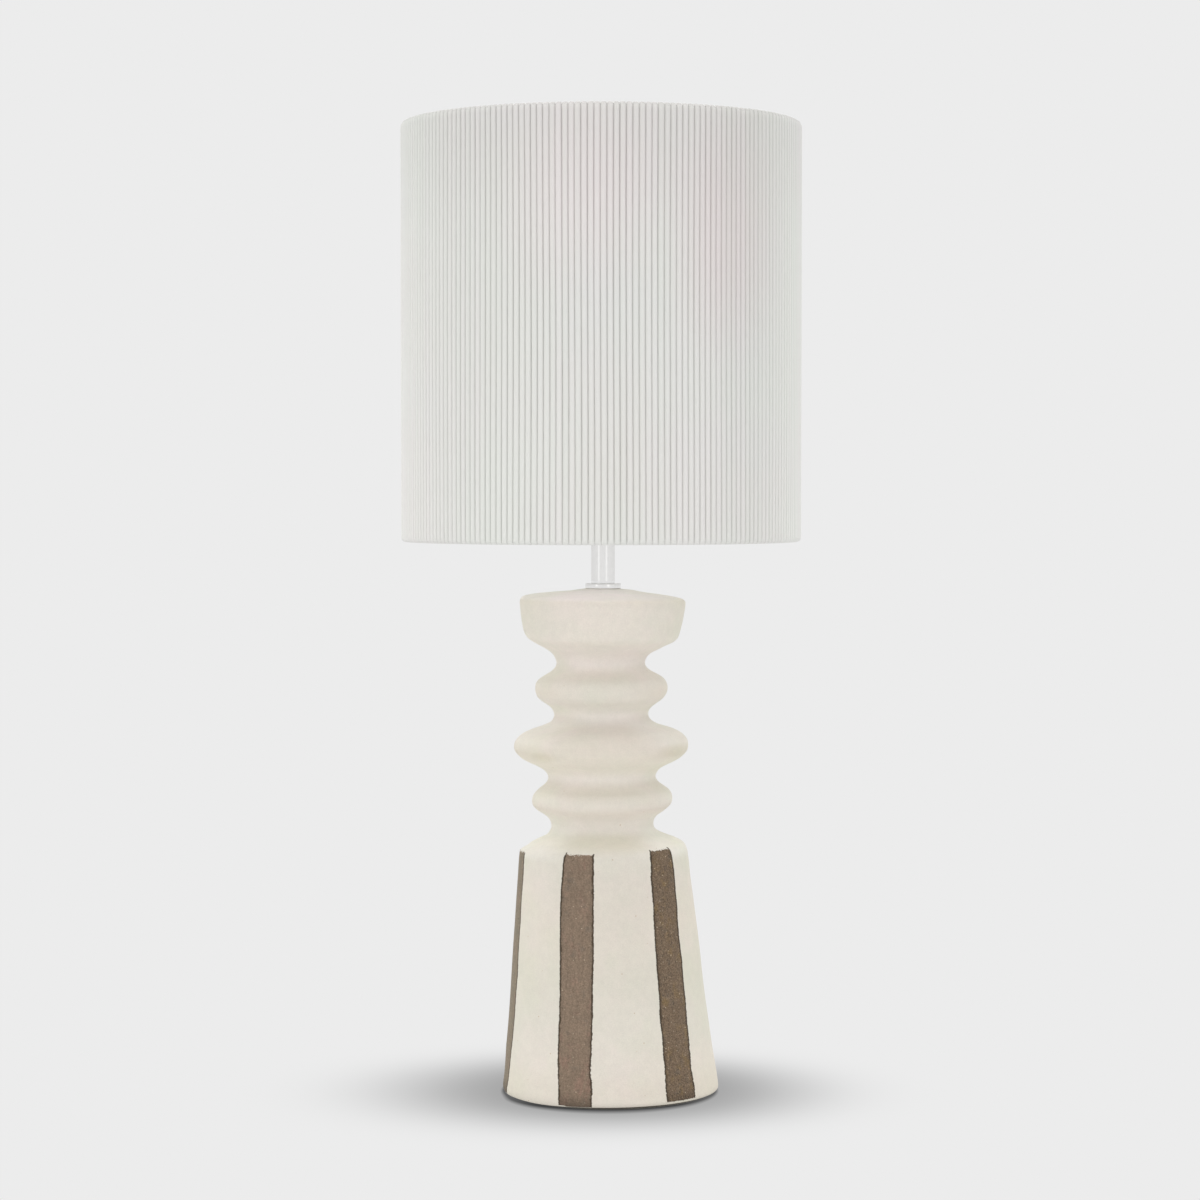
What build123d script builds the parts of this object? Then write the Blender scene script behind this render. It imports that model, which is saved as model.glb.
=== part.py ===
from build123d import *
import math
import os

os.makedirs("parts", exist_ok=True)

# Table lamp: hollow ceramic body on an oblique foot, metal neck, lamp socket with
# a turning switch, screw-in bulb, harp, finial and a pleated drum shade.
# Millimetres, +Z up, the front looks along -Y. The origin is on the table top,
# on the axis of the threaded rod.

# ---------------------------------------------------------------- driving sizes
# pad and foot
FELT_T = 2.0
FELT_R = 85.0
FOOT_R = 89.65
FOOT_X = 6.0            # the foot stands off the rod's axis: the cone is oblique
FOOT_FILLET = 2.0
SHOULDER_Z = 201.2
SHOULDER_R = 69.5
WALL = 5.5
RECESS_R = 79.5
RECESS_X = 5.7
FLOOR_Z0 = 24.0
FLOOR_Z1 = 30.0
ROD_HOLE_R = 6.0

# supply inlet in the rear of the foot
INLET_X = 5.67
INLET_Z = 13.0
INLET_HOLE_R = 5.0
INLET_BORE_R = 3.1
INLET_SEAT_Y = 87.0

# rod and the stack on it
ROD_R = 5.0
ROD_BORE_R = 3.25
ROD_Z0 = 8.0
ROD_Z1 = 503.0
HOLE_ON_ROD_R = 5.06
TOP_Z = 417.2
GASKET_T = 1.0
GASKET_R = 10.6
FLANGE_R = 14.7
FLANGE_GAP = 0.1
FLANGE_T = 4.3
NECK_R = 9.8
NECK_BORE_R = 8.8
NECK_L = 71.8
NECK_CAP_R = 11.0
NECK_CAP_T = 2.0
SADDLE_T = 1.6
SADDLE_W = 9.0
SADDLE_HALF = 24.0
SADDLE_BEND = 7.0

# lamp socket
SOCKET_R = 16.4
SOCKET_T = 0.4
SOCKET_TOP = 560.0
SCREW_BORE_R = 13.2
SWITCH_Z = 529.0
SWITCH_R = 2.0
KNOB_R = 6.0

# bulb
CAP_R = 13.1
BULB_R = 30.0
BULB_TOP = 644.0

# harp
HARP_X = 31.85
WIRE_R = 2.1
HARP_Z0 = 518.2
FERRULE_R = 4.4
FERRULE_BORE_R = 3.2
FERRULE_L = 14.0
PAD_Z1 = 769.8
PAD_T = 2.2
PAD_R = 8.0
STUD_R = 3.17
STUD_TOP = 786.0
STUD_SEAT_Z = 772.4

# shade
SHADE_R = 165.0
SHADE_T = 1.8
SHADE_Z0 = 456.2
SHADE_Z1 = 799.7
HEM_T = 0.7
HEM_H = 12.0
LINER_R = 163.0
LINER_T = 0.6
RING_R = 160.35
RING_WIRE_R = 1.85
ARM_R = 1.8
ARM_ANGLES = (90.0, 210.0, 330.0)
HUB_R = 15.0
HUB_T = 2.0

# finial
FINIAL_TOP = 795.0

# Outline of the ceramic body above the shoulder, from the top disc down through
# the three rings: (radius, height).
OUTLINE = [
    (14.9, 417.2), (21.5, 416.5), (36.0, 414.8), (51.0, 412.8), (59.5, 411.0),
    (64.5, 409.3), (67.4, 407.4), (68.55, 405.2), (68.5, 402.9), (68.2, 400.4),
    (67.5, 396.0), (66.8, 391.0), (65.8, 386.5), (64.5, 381.6), (62.7, 377.3),
    (60.4, 374.6), (56.8, 372.4), (51.2, 369.7), (45.1, 366.4), (40.5, 363.3),
    (37.8, 360.0), (36.6, 356.4), (37.2, 353.0), (39.9, 350.0), (44.5, 347.3),
    (48.9, 344.8), (52.4, 341.8), (54.4, 338.5), (54.9, 334.8), (54.3, 331.2),
    (52.7, 327.6), (49.5, 324.4), (44.9, 321.5), (41.3, 318.4), (39.4, 315.4),
    (38.9, 312.6), (39.7, 309.9), (42.1, 307.4), (46.9, 305.0), (52.6, 303.1),
    (58.2, 301.3), (63.2, 299.1), (67.3, 296.4), (70.2, 293.3), (71.8, 290.0),
    (72.25, 286.6), (71.6, 283.2), (69.5, 280.2), (66.2, 277.2), (61.8, 274.4),
    (56.1, 271.7), (50.9, 269.2), (47.2, 266.7), (45.1, 263.9), (44.4, 260.9),
    (45.3, 258.1), (47.9, 255.4), (51.6, 252.8), (55.1, 249.9), (57.4, 246.5),
    (58.25, 242.6), (57.5, 238.8), (55.2, 235.6), (51.4, 232.6), (47.2, 230.0),
    (44.2, 227.1), (42.5, 223.9), (42.3, 220.8), (43.4, 217.9), (46.9, 215.3),
    (51.5, 213.0), (56.5, 210.7), (61.2, 208.3), (65.2, 205.6), (68.0, 203.3),
    (SHOULDER_R, SHOULDER_Z),
]


# ---------------------------------------------------------------- helpers
def tube(r_out, r_in, z0, z1, x=0.0, y=0.0):
    h = z1 - z0
    body = Pos(x, y, (z0 + z1) / 2) * Cylinder(r_out, h)
    return body - Pos(x, y, (z0 + z1) / 2) * Cylinder(r_in, h + 2)


def disc(r, z0, z1, x=0.0, y=0.0):
    return Pos(x, y, (z0 + z1) / 2) * Cylinder(r, z1 - z0)


def block(x0, x1, y0, y1, z0, z1):
    return Pos((x0 + x1) / 2, (y0 + y1) / 2, (z0 + z1) / 2) * Box(x1 - x0, y1 - y0, z1 - z0)


def turned(points, x=0.0):
    """Solid of revolution about +Z from a closed outline of (radius, height)."""
    pts = [(r, 0, z) for r, z in points]
    face = make_face(Polyline(*pts, close=True))
    return Pos(x, 0, 0) * revolve(face, Axis.Z, 360)


def along_y(r, y0, y1, x, z):
    return Pos(x, (y0 + y1) / 2, z) * Rot(90, 0, 0) * Cylinder(r, y1 - y0)


def along_x(r, x0, x1, y, z):
    return Pos((x0 + x1) / 2, y, z) * Rot(0, 90, 0) * Cylinder(r, x1 - x0)


def cone_radius(z):
    """Outer radius of the tapered foot at a height."""
    f = (SHOULDER_Z - z) / (SHOULDER_Z - FELT_T)
    return SHOULDER_R + f * (FOOT_R - SHOULDER_R)


def cone_x(z):
    """Where the tapered foot's centre is at a height."""
    return FOOT_X * (SHOULDER_Z - z) / (SHOULDER_Z - FELT_T)


def outline_radius(z):
    """Outer radius at a height, on straight lines between the outline's points."""
    if z <= SHOULDER_Z:
        return cone_radius(z)
    for (r1, z1), (r0, z0) in zip(OUTLINE, OUTLINE[1:]):
        if z0 <= z <= z1:
            return r0 + (r1 - r0) * (z - z0) / (z1 - z0)
    return 0.0


def inside_radius(z):
    """Radius of the hollow: every point of it is at least WALL from the outside."""
    best = outline_radius(z)
    steps = 44
    for i in range(-steps, steps + 1):
        dz = WALL * i / steps
        best = min(best, outline_radius(z + dz) - math.sqrt(WALL * WALL - dz * dz))
    return best


parts = {}

# ---------------------------------------------------------------- ceramic body
parts["base_felt"] = disc(FELT_R, 0, FELT_T, FOOT_X)

# the hollow's outline, from the shoulder up to its narrow top under the disc
levels = [SHOULDER_Z + i * (407.6 - SHOULDER_Z) / 69 for i in range(70)]
hollow_points = [(inside_radius(z), z) for z in levels]
for z in (408.7, 409.6, 410.4, 411.0):
    r = inside_radius(z)
    if 8.0 < r < hollow_points[-1][0]:
        hollow_points.append((r, z))
hollow_top = hollow_points[-1][1]
inner_line = [(r, 0, z) for r, z in hollow_points] + [(ROD_HOLE_R, 0, hollow_top)]
upper_edges = [
    Spline(*[(r, 0, z) for r, z in OUTLINE]),
    Line((SHOULDER_R, 0, SHOULDER_Z), inner_line[0]),
    Polyline(*inner_line),
    Line(inner_line[-1], (ROD_HOLE_R, 0, TOP_Z)),
    Line((ROD_HOLE_R, 0, TOP_Z), (14.9, 0, TOP_Z)),
]
upper = revolve(make_face(upper_edges), Axis.Z, 360)
foot = loft(
    [
        (Pos(FOOT_X, 0, FELT_T) * Circle(FOOT_R)).face(),
        (Pos(0, 0, SHOULDER_Z) * Circle(SHOULDER_R)).face(),
    ],
    ruled=True,
)
foot = fillet(foot.edges().sort_by(Axis.Z)[0], FOOT_FILLET)
low_hollow = loft(
    [
        (Pos(cone_x(FLOOR_Z1), 0, FLOOR_Z1) * Circle(cone_radius(FLOOR_Z1) - 6.5)).face(),
        (Pos(0, 0, SHOULDER_Z) * Circle(hollow_points[0][0])).face(),
    ],
    ruled=True,
)
foot = foot - low_hollow
body = upper + foot
body = body - disc(RECESS_R, 0, FLOOR_Z0, RECESS_X)
body = body - disc(ROD_HOLE_R, FLOOR_Z0 - 1, FLOOR_Z1 + 1)
body = body - along_y(INLET_HOLE_R, 70, 100, INLET_X, INLET_Z)
body = body - along_y(8.0, INLET_SEAT_Y, 100, INLET_X, INLET_Z)
parts["ceramic_body"] = body

# Grommet: a neck in the wall's hole between an outer and an inner flange.
grommet = along_y(INLET_HOLE_R - 0.08, 78.0, 88.0, INLET_X, INLET_Z)
grommet += along_y(7.6, INLET_SEAT_Y, INLET_SEAT_Y + 2.0, INLET_X, INLET_Z)
grommet += along_y(6.2, 77.0, 79.0, INLET_X, INLET_Z)
parts["inlet_grommet"] = grommet - along_y(INLET_BORE_R, 60, 100, INLET_X, INLET_Z)

# ---------------------------------------------------------------- stack under the floor
parts["floor_gasket"] = tube(19.0, HOLE_ON_ROD_R, FLOOR_Z0 - 1.6, FLOOR_Z0)
parts["floor_washer"] = tube(20.0, HOLE_ON_ROD_R, FLOOR_Z0 - 3.6, FLOOR_Z0 - 1.6)
lock = tube(9.0, HOLE_ON_ROD_R, FLOOR_Z0 - 4.6, FLOOR_Z0 - 3.6)
for i in range(12):
    a = math.radians(30 * i)
    lock -= disc(1.1, 0, 40, 9.3 * math.cos(a), 9.3 * math.sin(a))
parts["lock_washer"] = lock
nut = extrude(Pos(0, 0, FLOOR_Z0 - 9.6) * RegularPolygon(9.8, 6), 5.0)
nut -= disc(HOLE_ON_ROD_R, 0, 40)
parts["rod_nut"] = nut
parts["threaded_rod"] = tube(ROD_R, ROD_BORE_R, ROD_Z0, ROD_Z1)
bush = disc(4.9, ROD_Z0 - 1.8, ROD_Z0) + disc(ROD_BORE_R - 0.06, ROD_Z0 - 1.0, ROD_Z0 + 6)
parts["rod_bushing"] = bush - disc(2.6, 0, 40)

# ---------------------------------------------------------------- neck
z = TOP_Z
parts["neck_gasket"] = tube(GASKET_R, HOLE_ON_ROD_R, z, z + GASKET_T)
# the flange hides the gasket in a recess of its underside
flange = disc(FLANGE_R, z + FLANGE_GAP, z + FLANGE_GAP + FLANGE_T)
flange = fillet(flange.edges().sort_by(Axis.Z)[-1], 1.2)
flange = fillet(flange.edges().sort_by(Axis.Z)[0], 0.5)
flange += disc(NECK_BORE_R - 0.06, z + FLANGE_T - 0.5, z + FLANGE_GAP + FLANGE_T + 2.0)
flange -= disc(GASKET_R + 0.3, z - 1, z + GASKET_T)
parts["neck_flange"] = flange - disc(HOLE_ON_ROD_R, z - 2, z + 12)
z += FLANGE_GAP + FLANGE_T
NECK_Z0 = z
parts["neck_tube"] = tube(NECK_R, NECK_BORE_R, z, z + NECK_L)
z += NECK_L
neck_cap = disc(NECK_CAP_R, z, z + NECK_CAP_T) + disc(NECK_BORE_R - 0.06, z - 2.0, z + 0.5)
neck_cap = neck_cap - disc(HOLE_ON_ROD_R, z - 5, z + 5)
parts["neck_cap"] = neck_cap
z += NECK_CAP_T
SADDLE_Z = z

# ---------------------------------------------------------------- harp saddle
t, w, h = SADDLE_T, SADDLE_W / 2, SADDLE_HALF
mid = SADDLE_Z + t / 2 + SADDLE_BEND
saddle = block(-h, h, -w, w, SADDLE_Z, SADDLE_Z + t) + disc(13.0, SADDLE_Z, SADDLE_Z + t)
for s in (-1, 1):
    ring = along_y(SADDLE_BEND + t / 2, -w, w, s * h, mid)
    ring -= along_y(SADDLE_BEND - t / 2, -w - 1, w + 1, s * h, mid)
    x0, x1 = sorted((s * h, s * (h + 12)))
    saddle += ring & block(x0, x1, -w - 2, w + 2, SADDLE_Z - 1, mid)
    x0, x1 = sorted((s * (h + SADDLE_BEND - t / 2), s * (h + SADDLE_BEND + t / 2)))
    saddle += block(x0, x1, -w, w, mid, 506.9)
    saddle += block(x0, x1, -2.4, 2.4, 506.0, HARP_Z0 - 0.2)
parts["harp_saddle"] = saddle - disc(HOLE_ON_ROD_R, SADDLE_Z - 2, SADDLE_Z + 4)
SOCKET_Z0 = SADDLE_Z + t

# ---------------------------------------------------------------- lamp socket
cap = turned([
    (HOLE_ON_ROD_R, SOCKET_Z0), (7.5, SOCKET_Z0), (7.5, 502.5), (12.2, 505.2), (15.8, 509.0),
    (17.0, 513.5), (17.0, 521.5), (16.5, 521.5), (16.5, 513.7), (15.3, 509.5), (11.9, 506.0),
    (7.0, 503.6), (HOLE_ON_ROD_R, 503.6),
])
cap -= along_y(1.5, 4.0, 12.0, 0, 500.0)
parts["socket_cap"] = cap
grub = along_y(1.45, 5.15, 9.2, 0, 500.0) - block(-0.3, 0.3, 8.6, 9.4, 498.0, 502.0)
parts["socket_set_screw"] = grub

shell = tube(SOCKET_R, SOCKET_R - SOCKET_T, 515.5, SOCKET_TOP)
shell -= along_y(3.4, -20, -12, 0, SWITCH_Z)
parts["socket_shell"] = shell
sleeve = tube(SOCKET_R - SOCKET_T - 0.1, SOCKET_R - SOCKET_T - 0.6, 516.0, 558.5)
sleeve -= along_y(3.4, -20, -12, 0, SWITCH_Z)
parts["socket_sleeve"] = sleeve

inner = disc(13.8, 511.0, 532.6) + tube(13.8, 12.0, 532.6, 534.6)
inner -= along_y(SWITCH_R + 0.08, -20, -6.0, 0, SWITCH_Z)
inner -= along_x(1.65, 9.0, 16, 0, 517.0)
inner -= along_x(1.65, -16, -9.0, 0, 517.0)
inner -= block(-2.6, 2.6, 8.2, 16, 510, 540)
parts["socket_block"] = inner
parts["screw_shell"] = tube(SCREW_BORE_R + 0.5, SCREW_BORE_R, 534.6, 559.0)
contact = block(-2.3, 2.3, 9.0, 9.8, 515.0, 534.4)
contact += block(-2.3, 2.3, -3.5, 9.8, 533.9, 534.6)
contact -= block(-4, 4, 8.2 + 10, 20, 510, 540)
parts["centre_contact"] = contact
for name, s in (("terminal_screw_a", 1), ("terminal_screw_b", -1)):
    x0, x1 = sorted((s * 13.85, s * 14.9))
    x2, x3 = sorted((s * 9.5, s * 14.0))
    screw = along_x(2.8, x0, x1, 0, 517.0) + along_x(1.6, x2, x3, 0, 517.0)
    x4, x5 = sorted((s * 14.5, s * 15.2))
    screw -= block(x4, x5, -4, 4, 516.6, 517.4)
    parts[name] = screw

# switch: shaft and fluted knob, turning about -Y
shaft = along_y(SWITCH_R, -33.0, -6.4, 0, SWITCH_Z)
parts["switch_shaft"] = shaft
knob = along_y(KNOB_R, -36.0, -23.0, 0, SWITCH_Z)
knob = fillet(knob.edges().sort_by(Axis.Y)[0], 1.2)
for i in range(10):
    a = math.radians(36 * i)
    knob -= along_y(0.8, -37.0, -25.0, (KNOB_R + 0.25) * math.cos(a), SWITCH_Z + (KNOB_R + 0.25) * math.sin(a))
knob += along_y(4.0, -23.0, -20.0, 0, SWITCH_Z)
knob -= along_y(SWITCH_R, -33.0, -10.0, 0, SWITCH_Z)
parts["switch_knob"] = knob

# ---------------------------------------------------------------- bulb
parts["bulb_tip"] = disc(4.2, 534.7, 536.8)
parts["bulb_insulator"] = turned([
    (0.0, 536.8), (5.5, 536.8), (10.6, 539.8), (10.6, 541.0), (0.0, 541.0),
])
screw_cap = turned([
    (10.7, 538.6), (CAP_R, 541.0), (CAP_R, 561.0), (CAP_R - 0.5, 561.0), (CAP_R - 0.5, 541.4),
    (10.7, 541.4),
])
parts["bulb_screw_cap"] = screw_cap
collar_out = Spline(
    (14.0, 0, 561.1), (15.6, 0, 566.0), (18.9, 0, 574.0), (22.6, 0, 583.0), (25.6, 0, 592.0)
)
collar_edges = [
    collar_out,
    Line((25.6, 0, 592.0), (24.0, 0, 592.0)),
    Line((24.0, 0, 592.0), (24.0, 0, 590.0)),
    Line((24.0, 0, 590.0), (12.4, 0, 563.0)),
    Line((12.4, 0, 563.0), (12.4, 0, 561.1)),
    Line((12.4, 0, 561.1), (14.0, 0, 561.1)),
]
parts["bulb_collar"] = revolve(make_face(collar_edges), Axis.Z, 360)
parts["bulb_board"] = disc(23.1, 588.4, 590.0) - disc(2.0, 580, 595)
globe = Spline(
    (25.6, 0, 592.05), (28.6, 0, 601.0), (BULB_R, 0, 612.0), (28.6, 0, 624.0), (23.4, 0, 634.6),
    (14.0, 0, 641.8), (0, 0, BULB_TOP), tangents=[(0.33, 0, 1.0), (-1, 0, 0)]
)
globe_in = Spline(
    (0, 0, BULB_TOP - 1.2), (13.6, 0, 640.7), (22.5, 0, 633.8), (27.4, 0, 623.6), (28.8, 0, 612.0),
    (27.4, 0, 601.2), (24.4, 0, 592.05), tangents=[(1, 0, 0), (-0.33, 0, -1.0)]
)
globe_edges = [
    globe,
    Line((0, 0, BULB_TOP), (0, 0, BULB_TOP - 1.2)),
    globe_in,
    Line((24.4, 0, 592.05), (25.6, 0, 592.05)),
]
parts["bulb_diffuser"] = revolve(make_face(globe_edges), Axis.Z, 360)

# ---------------------------------------------------------------- harp
pad_z = PAD_Z1 - WIRE_R
bow = disc(PAD_R, PAD_Z1 - PAD_T, PAD_Z1)
for s in (-1, 1):
    leg = Line((s * HARP_X, 0, HARP_Z0), (s * HARP_X, 0, 542.0))
    arc = Spline(
        (s * HARP_X, 0, 542.0), (s * 42.0, 0, 575.0), (s * 53.0, 0, 622.0), (s * 57.5, 0, 668.0),
        (s * 52.0, 0, 716.0), (s * 33.0, 0, 752.5), (s * 6.5, 0, pad_z),
        tangents=[(0, 0, 1), (-s, 0, 0.12)],
    )
    start = Plane(origin=(s * HARP_X, 0, HARP_Z0), z_dir=(0, 0, 1))
    bow += sweep(start * Circle(WIRE_R), path=leg + arc)
    x0, x1 = sorted((s * (HARP_X + 0.05), s * (HARP_X + 1.65)))
    bow += block(x0, x1, -2.0, 2.0, 508.0, HARP_Z0 + 0.6) & disc(2.6, 500, 530, s * HARP_X)
bow -= disc(3.05, 760, 780)
parts["harp_bow"] = bow

for name, s in (("ferrule_left", -1), ("ferrule_right", 1)):
    fx = s * HARP_X
    f = disc(FERRULE_R, 507.0, 507.0 + FERRULE_L, fx)
    f = fillet(f.edges().sort_by(Axis.Z)[-1], 1.0)
    f -= disc(FERRULE_BORE_R, 500.0, 507.0 + FERRULE_L - 1.6, fx)
    f -= disc(WIRE_R + 0.08, 500.0, 530.0, fx)
    parts[name] = f

stud = disc(4.4, PAD_Z1 - PAD_T - 1.8, PAD_Z1 - PAD_T - 0.06)
stud += disc(3.0, PAD_Z1 - PAD_T - 0.5, PAD_Z1 + 0.5)
stud += extrude(Pos(0, 0, PAD_Z1 + 0.06) * RegularPolygon(7.4, 6), STUD_SEAT_Z - PAD_Z1 - 0.06)
stud += disc(STUD_R, STUD_SEAT_Z - 0.5, STUD_TOP)
parts["harp_stud"] = chamfer(stud.edges().sort_by(Axis.Z)[-1], 0.6)

# ---------------------------------------------------------------- shade
parts["shade_cover"] = tube(SHADE_R, SHADE_R - SHADE_T, SHADE_Z0 + HEM_T, SHADE_Z1 - HEM_T)
parts["shade_liner"] = tube(LINER_R, LINER_R - LINER_T, SHADE_Z0 + HEM_T + 0.1, SHADE_Z1 - HEM_T - 0.1)
HEM_IN = RING_R - RING_WIRE_R - 0.1 - HEM_T
top_hem = tube(SHADE_R, HEM_IN, SHADE_Z1 - HEM_T, SHADE_Z1)
top_hem += tube(HEM_IN + HEM_T, HEM_IN, SHADE_Z1 - HEM_H, SHADE_Z1)
bottom_hem = tube(SHADE_R, HEM_IN, SHADE_Z0, SHADE_Z0 + HEM_T)
bottom_hem += tube(HEM_IN + HEM_T, HEM_IN, SHADE_Z0, SHADE_Z0 + HEM_H)
ring_top_z = SHADE_Z1 - HEM_T - RING_WIRE_R - 0.1
ring_low_z = SHADE_Z0 + HEM_T + RING_WIRE_R + 0.1
parts["top_ring"] = Pos(0, 0, ring_top_z) * Torus(RING_R, RING_WIRE_R)
parts["bottom_ring"] = Pos(0, 0, ring_low_z) * Torus(RING_R, RING_WIRE_R)

HUB_Z0 = STUD_SEAT_Z + 0.05
hub = tube(HUB_R, STUD_R + 0.45, HUB_Z0, HUB_Z0 + HUB_T)
parts["spider_hub"] = hub
hub_mid = HUB_Z0 + HUB_T / 2
arm_in, arm_out = HUB_R + 0.03, RING_R - RING_WIRE_R - 0.06
for name, angle in zip(("spider_arm_a", "spider_arm_b", "spider_arm_c"), ARM_ANGLES):
    path = Spline(
        (arm_in, 0, hub_mid), (60.0, 0, hub_mid + 0.6), (110.0, 0, hub_mid + 6.2),
        (140.0, 0, ring_top_z - 4.6), (arm_out, 0, ring_top_z),
        tangents=[(1, 0, 0), (1, 0, 0.15)],
    )
    arm = sweep(Plane(origin=(arm_in, 0, hub_mid), z_dir=(1, 0, 0)) * Circle(ARM_R), path=path)
    parts[name] = Rot(0, 0, angle) * arm
    slot = block(150.0, 158.4, -2.6, 2.6, SHADE_Z1 - HEM_H - 1, SHADE_Z1 - HEM_T)
    top_hem -= Rot(0, 0, angle) * slot
parts["top_hem"] = top_hem
parts["bottom_hem"] = bottom_hem

# ---------------------------------------------------------------- finial
FINIAL_Z0 = HUB_Z0 + HUB_T + 0.05
parts["finial_insert"] = tube(4.6, STUD_R + 0.05, FINIAL_Z0, FINIAL_Z0 + 10.0)
finial_edges = [
    Polyline((4.66, 0, FINIAL_Z0), (7.6, 0, FINIAL_Z0), (7.6, 0, FINIAL_Z0 + 1.4), (6.2, 0, FINIAL_Z0 + 2.2)),
    Spline(
        (6.2, 0, FINIAL_Z0 + 2.2), (5.9, 0, FINIAL_Z0 + 4.6), (7.0, 0, FINIAL_Z0 + 8.0),
        (8.2, 0, FINIAL_Z0 + 12.4), (6.9, 0, FINIAL_Z0 + 17.4), (3.6, 0, FINIAL_TOP - 0.75), (0, 0, FINIAL_TOP),
        tangents=[(-0.4, 0, 1), (-1, 0, 0)],
    ),
    Polyline((0, 0, FINIAL_TOP), (0, 0, STUD_TOP + 1.6), (3.5, 0, STUD_TOP + 1.6), (3.5, 0, FINIAL_Z0 + 10.05),
             (4.66, 0, FINIAL_Z0 + 10.05), (4.66, 0, FINIAL_Z0)),
]
parts["finial_knob"] = revolve(make_face(finial_edges), Axis.Z, 360)

# ---------------------------------------------------------------- write
for name, shape in parts.items():
    solids = shape.solids()
    export_step(solids[0] if len(solids) == 1 else shape, f"parts/{name}.step")
    print(name, len(solids), round(shape.volume, 1))
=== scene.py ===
import math

import bmesh
import bpy
import numpy as np
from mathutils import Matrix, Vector


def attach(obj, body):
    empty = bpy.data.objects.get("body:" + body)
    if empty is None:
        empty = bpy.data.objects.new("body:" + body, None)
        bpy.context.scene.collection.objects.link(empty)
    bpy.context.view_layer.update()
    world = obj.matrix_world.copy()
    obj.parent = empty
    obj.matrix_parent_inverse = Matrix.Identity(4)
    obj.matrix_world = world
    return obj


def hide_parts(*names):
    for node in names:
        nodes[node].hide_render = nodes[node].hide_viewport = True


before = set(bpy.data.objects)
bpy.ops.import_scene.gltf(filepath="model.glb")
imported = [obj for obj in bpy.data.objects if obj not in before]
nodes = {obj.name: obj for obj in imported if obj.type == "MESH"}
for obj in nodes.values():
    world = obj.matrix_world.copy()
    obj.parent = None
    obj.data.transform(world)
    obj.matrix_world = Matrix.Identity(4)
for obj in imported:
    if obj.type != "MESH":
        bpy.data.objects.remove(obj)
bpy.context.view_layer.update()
MM = 0.001
rng = np.random.default_rng(11)

# =============================================================== camera
# Fitted on the shade's rims, the flange and the foot as circles in perspective.
cam_data = bpy.data.cameras.new("Camera")
cam_data.lens = 96.77
cam_data.sensor_width = 36.0
cam_data.sensor_fit = "HORIZONTAL"
cam_data.clip_start, cam_data.clip_end = 0.05, 60.0
camera = bpy.data.objects.new("Camera", cam_data)
bpy.context.scene.collection.objects.link(camera)
camera.location = (-0.0010, -2.667, 0.5073)
camera.rotation_euler = (math.radians(90.0 - 2.137), 0.0, 0.0)
bpy.context.scene.camera = camera
bpy.context.scene.view_settings.view_transform = "Standard"
bpy.context.scene.view_settings.look = "None"
bpy.context.scene.view_settings.exposure = 0.0
bpy.context.scene.view_settings.gamma = 1.0

PALE = 0.8388          # radiance of the pale backdrop


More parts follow.
